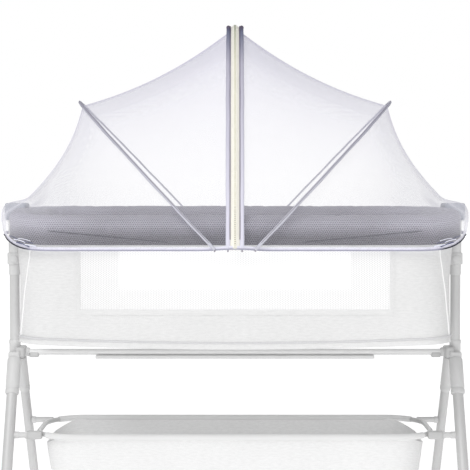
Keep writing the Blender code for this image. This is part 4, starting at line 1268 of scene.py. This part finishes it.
def shoe(side, leg, shoe_top, radius):
    """Ribbed rubber shoe, cut level where it stands on the floor."""
    foot = Vector(leg["foot"])
    groove = radius - 0.0010
    axis = (foot - Vector(leg["top"])).normalized()
    made = turned(f"leg_shoe_{side}_right", shoe_top, foot + axis * 0.03, (
        (radius - 0.0022, 0.0), (radius - 0.0008, 0.015), (radius, 0.05), (radius, 0.14), (groove, 0.16),
        (groove, 0.19), (radius, 0.21), (radius, 0.30), (groove, 0.32), (groove, 0.35), (radius, 0.37), (radius, 1.0)))
    with editing(made):
        bpy.ops.mesh.bisect(plane_co=(0, 0, 0.0), plane_no=(0, 0, 1), use_fill=True, clear_inner=True)
    at_both_ends(made, RUBBER, "foot_rubber", f"foot_{side}")


def posts():
    """Height-adjusting post at each end: its cap over the rail, sleeve and collar, button and tube."""
    for side in ("right", "left"):
        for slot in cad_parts[f"post_cap_{side}"].material_slots:
            slot.material = CAP_PLASTIC
    lock = turned("post_sleeve_right", (POST_X, 0, POST_LOCK_LOW), (POST_X, 0, 0.7157), (
        (0.0105, 0.0), (0.0117, 0.008), (0.0117, 0.190), (0.0148, 0.200), (0.0150, 0.215), (0.0150, 0.385),
        (0.0146, 0.400), (0.0123, 0.410), (0.0123, 0.660), (0.0119, 0.668), (0.0123, 0.676), (0.0123, 1.0)))
    at_both_ends(lock, PLASTIC, "joint_plastic", "post_lock")
    button = turned("post_press_button_right", (POST_X, -0.0140, 0.6338), (POST_X, -0.0181, 0.6338), (
        (0.0088, 0.0), (0.0088, 0.45), (0.0080, 0.75), (0.0066, 0.80), (0.0060, 0.92), (0.0030, 1.0)))
    at_both_ends(button, PLASTIC, "joint_plastic", "post_button")
    tube = turned("post_tube_right", (POST_X, 0, 0.458), (POST_X, 0, POST_LOCK_LOW), even(0.0105, 0.004))
    at_both_ends(tube, TUBE, "leg_tube", "post")


def leg_hub():
    """Joint at the post's foot: collar, knuckle that both legs hinge on, and its cheeks with a pin."""
    collar = turned("leg_hub_right", (POST_X, 0, HUB_LOW), (POST_X, 0, 0.4605), (
        (0.0108, 0.0), (0.0118, 0.03), (0.0118, 0.78), (0.0125, 0.82), (0.0125, 0.95), (0.0112, 1.0)))
    at_both_ends(collar, PLASTIC, "joint_plastic", "leg_joint")
    knuckle = rounded_block("hub_knuckle_right", (0.4470, -0.0240, 0.4225), (0.4680, 0.0240, 0.4465), 0.0060)
    with editing(knuckle):
        bpy.ops.mesh.select_all(action="DESELECT")
    for face in knuckle.data.polygons:
        face.select = abs(face.normal.y) > 0.99
    bpy.ops.object.mode_set(mode="EDIT")
    bpy.ops.mesh.inset(thickness=0.0020, use_individual=True)
    bpy.ops.mesh.inset(thickness=0.0005, depth=-0.0007, use_individual=True)
    bpy.ops.object.mode_set(mode="OBJECT")
    at_both_ends(knuckle, HUB_PLASTIC, "joint_plastic")
    for side, sign in SIDES:
        y = sign * 0.0190
        cheek = rounded_block(f"hub_cheek_{side}_right", (0.4570, y - 0.0095, HUB_LOW), (0.4815, y + 0.0095, 0.4370),
                              0.0045)
        at_both_ends(cheek, PLASTIC, "joint_plastic")
        pin = turned(f"hub_pin_{side}_right", (0.4605, sign * 0.0235, 0.4345), (0.4605, sign * 0.0262, 0.4345), (
            (0.0042, 0.0), (0.0042, 0.6), (0.0030, 1.0)), sides=20)
        at_both_ends(pin, TUBE, "leg_tube")


def crossbar():
    """Bar between the joints with a fitting at each end, and the flat bar under it."""
    height = CROSSBAR_HEIGHT
    bar = turned("cross_tube", (-0.4437, 0, height), (0.4437, 0, height), even(0.0064, 0.001))
    finished(bar, CROSSBAR_PAINTED_LIGHT, "leg_tube", "crossbar", angle=35)
    cup = turned("cross_cup_right", (0.4478, 0, height), (0.4395, 0, height), (
        (0.0088, 0.0), (0.0096, 0.1), (0.0096, 0.8), (0.0082, 1.0)))
    at_both_ends(cup, PLASTIC, "joint_plastic")
    clamp = rounded_block("cross_clamp_right", (0.4195, -0.0082, 0.4228), (0.4398, 0.0082, height), 0.0035)
    at_both_ends(clamp, HUB_PLASTIC, "joint_plastic")
    pad = rounded_block("cross_strip", (-0.298, -0.011, 0.420), (0.298, 0.011, 0.4273), 0.0025)
    finished(pad, CROSSBAR_PAINTED_LIGHT, "joint_plastic", "crossbar_pad", angle=35)


# The basket

def basket_wire():
    """Wire ring on four stubs that stand out from the legs, with a clip and two knobs on the near ones."""
    ring = rounded_ring(BASKET_HALF_LENGTH, BASKET_HALF_DEPTH, BASKET_CORNER, 10)
    wire = round_tube("basket_wire", [(x, y, BASKET_HEIGHT) for x, y in ring], BASKET_TUBE_RADIUS, True, 4)
    finished(wire, TUBE, "leg_tube", "basket_tube")
    height = BASKET_HEIGHT
    for side, leg in LEGS.items():
        point = on_leg(leg, height)
        y = point.y - math.copysign(STUB_SHIFT, point.y)
        stub = turned(f"basket_stub_{side}_right", (0.402, y, height), (point.x - leg["radius"] + 0.001, y, height), (
            (0.0052, 0.0), (0.0060, 0.03), (0.0060, 0.80), (0.0072, 0.83), (0.0072, 1.0)))
        at_both_ends(stub, PLASTIC, "joint_plastic", f"basket_bracket_{side}")
    near = on_leg(LEGS["near"], height).y + STUB_SHIFT
    clip = rounded_block("basket_clip_right", (0.4000, near - 0.0080, height - 0.0085),
                         (0.4320, near + 0.0080, height + 0.0085), 0.0040)
    at_both_ends(clip, HUB_PLASTIC, "joint_plastic")
    for number, z in enumerate((height - 0.0045, height + 0.0045)):
        knob = turned(f"basket_knob_{number + 1}_right", (0.4310, near, z), (0.4362, near, z), (
            (0.0036, 0.0), (0.0036, 0.4), (0.0031, 0.8), (0.0018, 1.0)), sides=18)
        at_both_ends(knob, PLASTIC, "joint_plastic")


def basket_casings():
    """Hems of the basket's long walls, each sewn round the wire and a little way into its corners."""
    straight = BASKET_HALF_LENGTH - BASKET_CORNER
    turns = [math.radians(turn) for turn in range(9, CASING_TURN + 1, 9)]
    half = [(x, 0.0) for x in np.linspace(0.0, straight, 12)]
    half += [(straight + BASKET_CORNER * math.sin(turn), BASKET_CORNER * (1 - math.cos(turn))) for turn in turns]
    line = [(-x, inward) for x, inward in half[1:][::-1]] + half
    for side, sign in SIDES:
        path = [(x, sign * (BASKET_HALF_DEPTH - inward), BASKET_HEIGHT) for x, inward in line]
        casing = round_tube(f"basket_casing_{side}", path, BASKET_TUBE_RADIUS + 0.0014, resolution=3)
        finished(casing, BASKET_CLOTH, "tub_linen", angle=50)


# Height, half length, half depth and corner of the basket's cloth at each level, and how far its ends hang there
BASKET_CLOTH_TOP = BASKET_HEIGHT - BASKET_TUBE_RADIUS
BASKET_LEVELS = (
    (BASKET_HEIGHT, 0.3960, BASKET_HALF_DEPTH - 0.0040, 0.0700, 1.0),
    (BASKET_CLOTH_TOP, 0.3955, BASKET_HALF_DEPTH - 0.0036, 0.0700, 1.0),
    (BASKET_CLOTH_TOP - 0.030, 0.3930, 0.1160, 0.0690, 0.5),
    (BASKET_CLOTH_TOP - 0.060, 0.3895, 0.1140, 0.0680, 0.15),
    (BASKET_CLOTH_TOP - 0.090, 0.3850, 0.1110, 0.0660, 0.0),
    (BASKET_CLOTH_TOP - 0.103, 0.3810, 0.1070, 0.0640, 0.0),
    (BASKET_CLOTH_BOTTOM + 0.002, 0.3740, 0.1000, 0.0600, 0.0),
    (BASKET_CLOTH_BOTTOM, 0.3600, 0.0880, 0.0540, 0.0),
)


def basket_slack(place, _):
    """Slight hollows and bulges in the basket's walls."""
    walls = float(eased((place.z - 0.16) / 0.03) * eased((0.262 - place.z) / 0.03))
    return 0.0022 * walls * wander(place.x * 11, place.y * 11, place.z * 7)


def basket_bag():
    """Hung cloth basket with its top edge turned over the wire, lower at its two ends."""
    stops = [0.04 * step for step in range(1, 9)]
    rows = []
    for height, half_length, half_depth, corner, dip in BASKET_LEVELS:
        row = []
        for x, y in rounded_ring(half_length, half_depth, corner, 8, stops):
            into_end = float(eased((abs(x) - half_length + corner) / corner))
            inwards = math.sqrt(max(0.0, 1 - (y / half_depth) ** 2))
            row.append((x, y, height - BASKET_END_DIP * dip * into_end * inwards))
        rows.append(row + row[:1])
    rim = rows[-1]
    for share in (0.80, 0.55, 0.28, 0.06):
        rows.append([(x * share, y * share, z) for x, y, z in rim])
    made = grid_over("basket_bag", rows, wrap=True)
    with shape_of(made) as shape:
        fill_floor(shape)
    walled(pushed_out(subdivided(made, 1), basket_slack), BASKET_CLOTH_THICKNESS)
    finished(made, BASKET_CLOTH, "tub_linen", "basket_side_near", "basket_side_far", "basket_end_right",
             "basket_end_left", "basket_floor", angle=50)


# Floor, light and camera

def lamp(name, place, towards, strength, softness, shadow=False):
    """A far soft light that shines from its place towards a direction."""
    bpy.ops.object.light_add(type="SUN", location=place)
    made = named(name)
    made.data.energy = strength
    made.data.angle = math.radians(softness)
    made.data.use_shadow = shadow
    made.rotation_euler = Vector(towards).to_track_quat("-Z", "Y").to_euler()


def studio():
    """Plain pale floor, soft light from all round, and the photograph's camera."""
    bpy.ops.mesh.primitive_plane_add(size=60.0)
    floor = named("floor")
    pale, shader = new_material("Pale floor", 0.9, (0.96, 0.96, 0.96))
    feed(shader.inputs["Specular IOR Level"], 0.0)
    feed(shader.inputs["Emission Color"], (1.0, 1.0, 1.0))
    feed(shader.inputs["Emission Strength"], FLOOR_GLOW)
    floor.data.materials.append(pale)
    world = bpy.data.worlds.new("Studio")
    bpy.context.scene.world = world
    world.use_nodes = True
    background = world.node_tree.nodes["Background"]
    feed(background.inputs["Color"], (1.0, 1.0, 1.0))
    seen = added(background, "LightPath", {}, "Is Camera Ray")
    feed(background.inputs["Strength"], calc("MULTIPLY_ADD", seen, 1.0 - SKY_LIGHT, SKY_LIGHT))
    lamp("softbox", (-1.0, -1.6, 2.2), (1.0, 1.6, -2.2), SOFTBOX_LIGHT, 40, shadow=True)
    lamp("fill_light_front", (0.2, -2.4, 0.8), (-0.2, 2.4, -0.3), FILL_LIGHT, 60)
    lamp("fill_light_back", (0.2, 2.4, 0.8), (-0.2, -2.4, -0.3), FILL_LIGHT, 60)
    bpy.ops.object.camera_add(location=(0.0, -CAMERA_DISTANCE, CAMERA_HEIGHT),
                              rotation=(math.pi / 2 - CAMERA_PITCH, 0.0, 0.0))
    camera = named("camera")
    camera.data.lens = CAMERA_LENS
    camera.data.sensor_width = 36.0
    bpy.context.scene.camera = camera
    bpy.context.scene.view_settings.view_transform = "Standard"


upper_panels()
lower_panels()
hem_band()
sleeve("upright", UPRIGHT_HOOP, SLEEVE)
sleeve("leaning", LEANING_HOOP, SHADED_LEANING_SLEEVE)
shadow_line_cord("upright", UPRIGHT_HOOP, 0.0014, math.radians(62))
shadow_line_cord("leaning", LEANING_HOOP, 0.0007, math.radians(20))
rods()
zip_tapes()
zip_teeth()
rail_cover()
rail_seam()
corner_pleats()
tub()
tub_windows()
tub_trims()
posts()
leg_hub()
legs()
crossbar()
basket_wire()
basket_casings()
basket_bag()
studio()
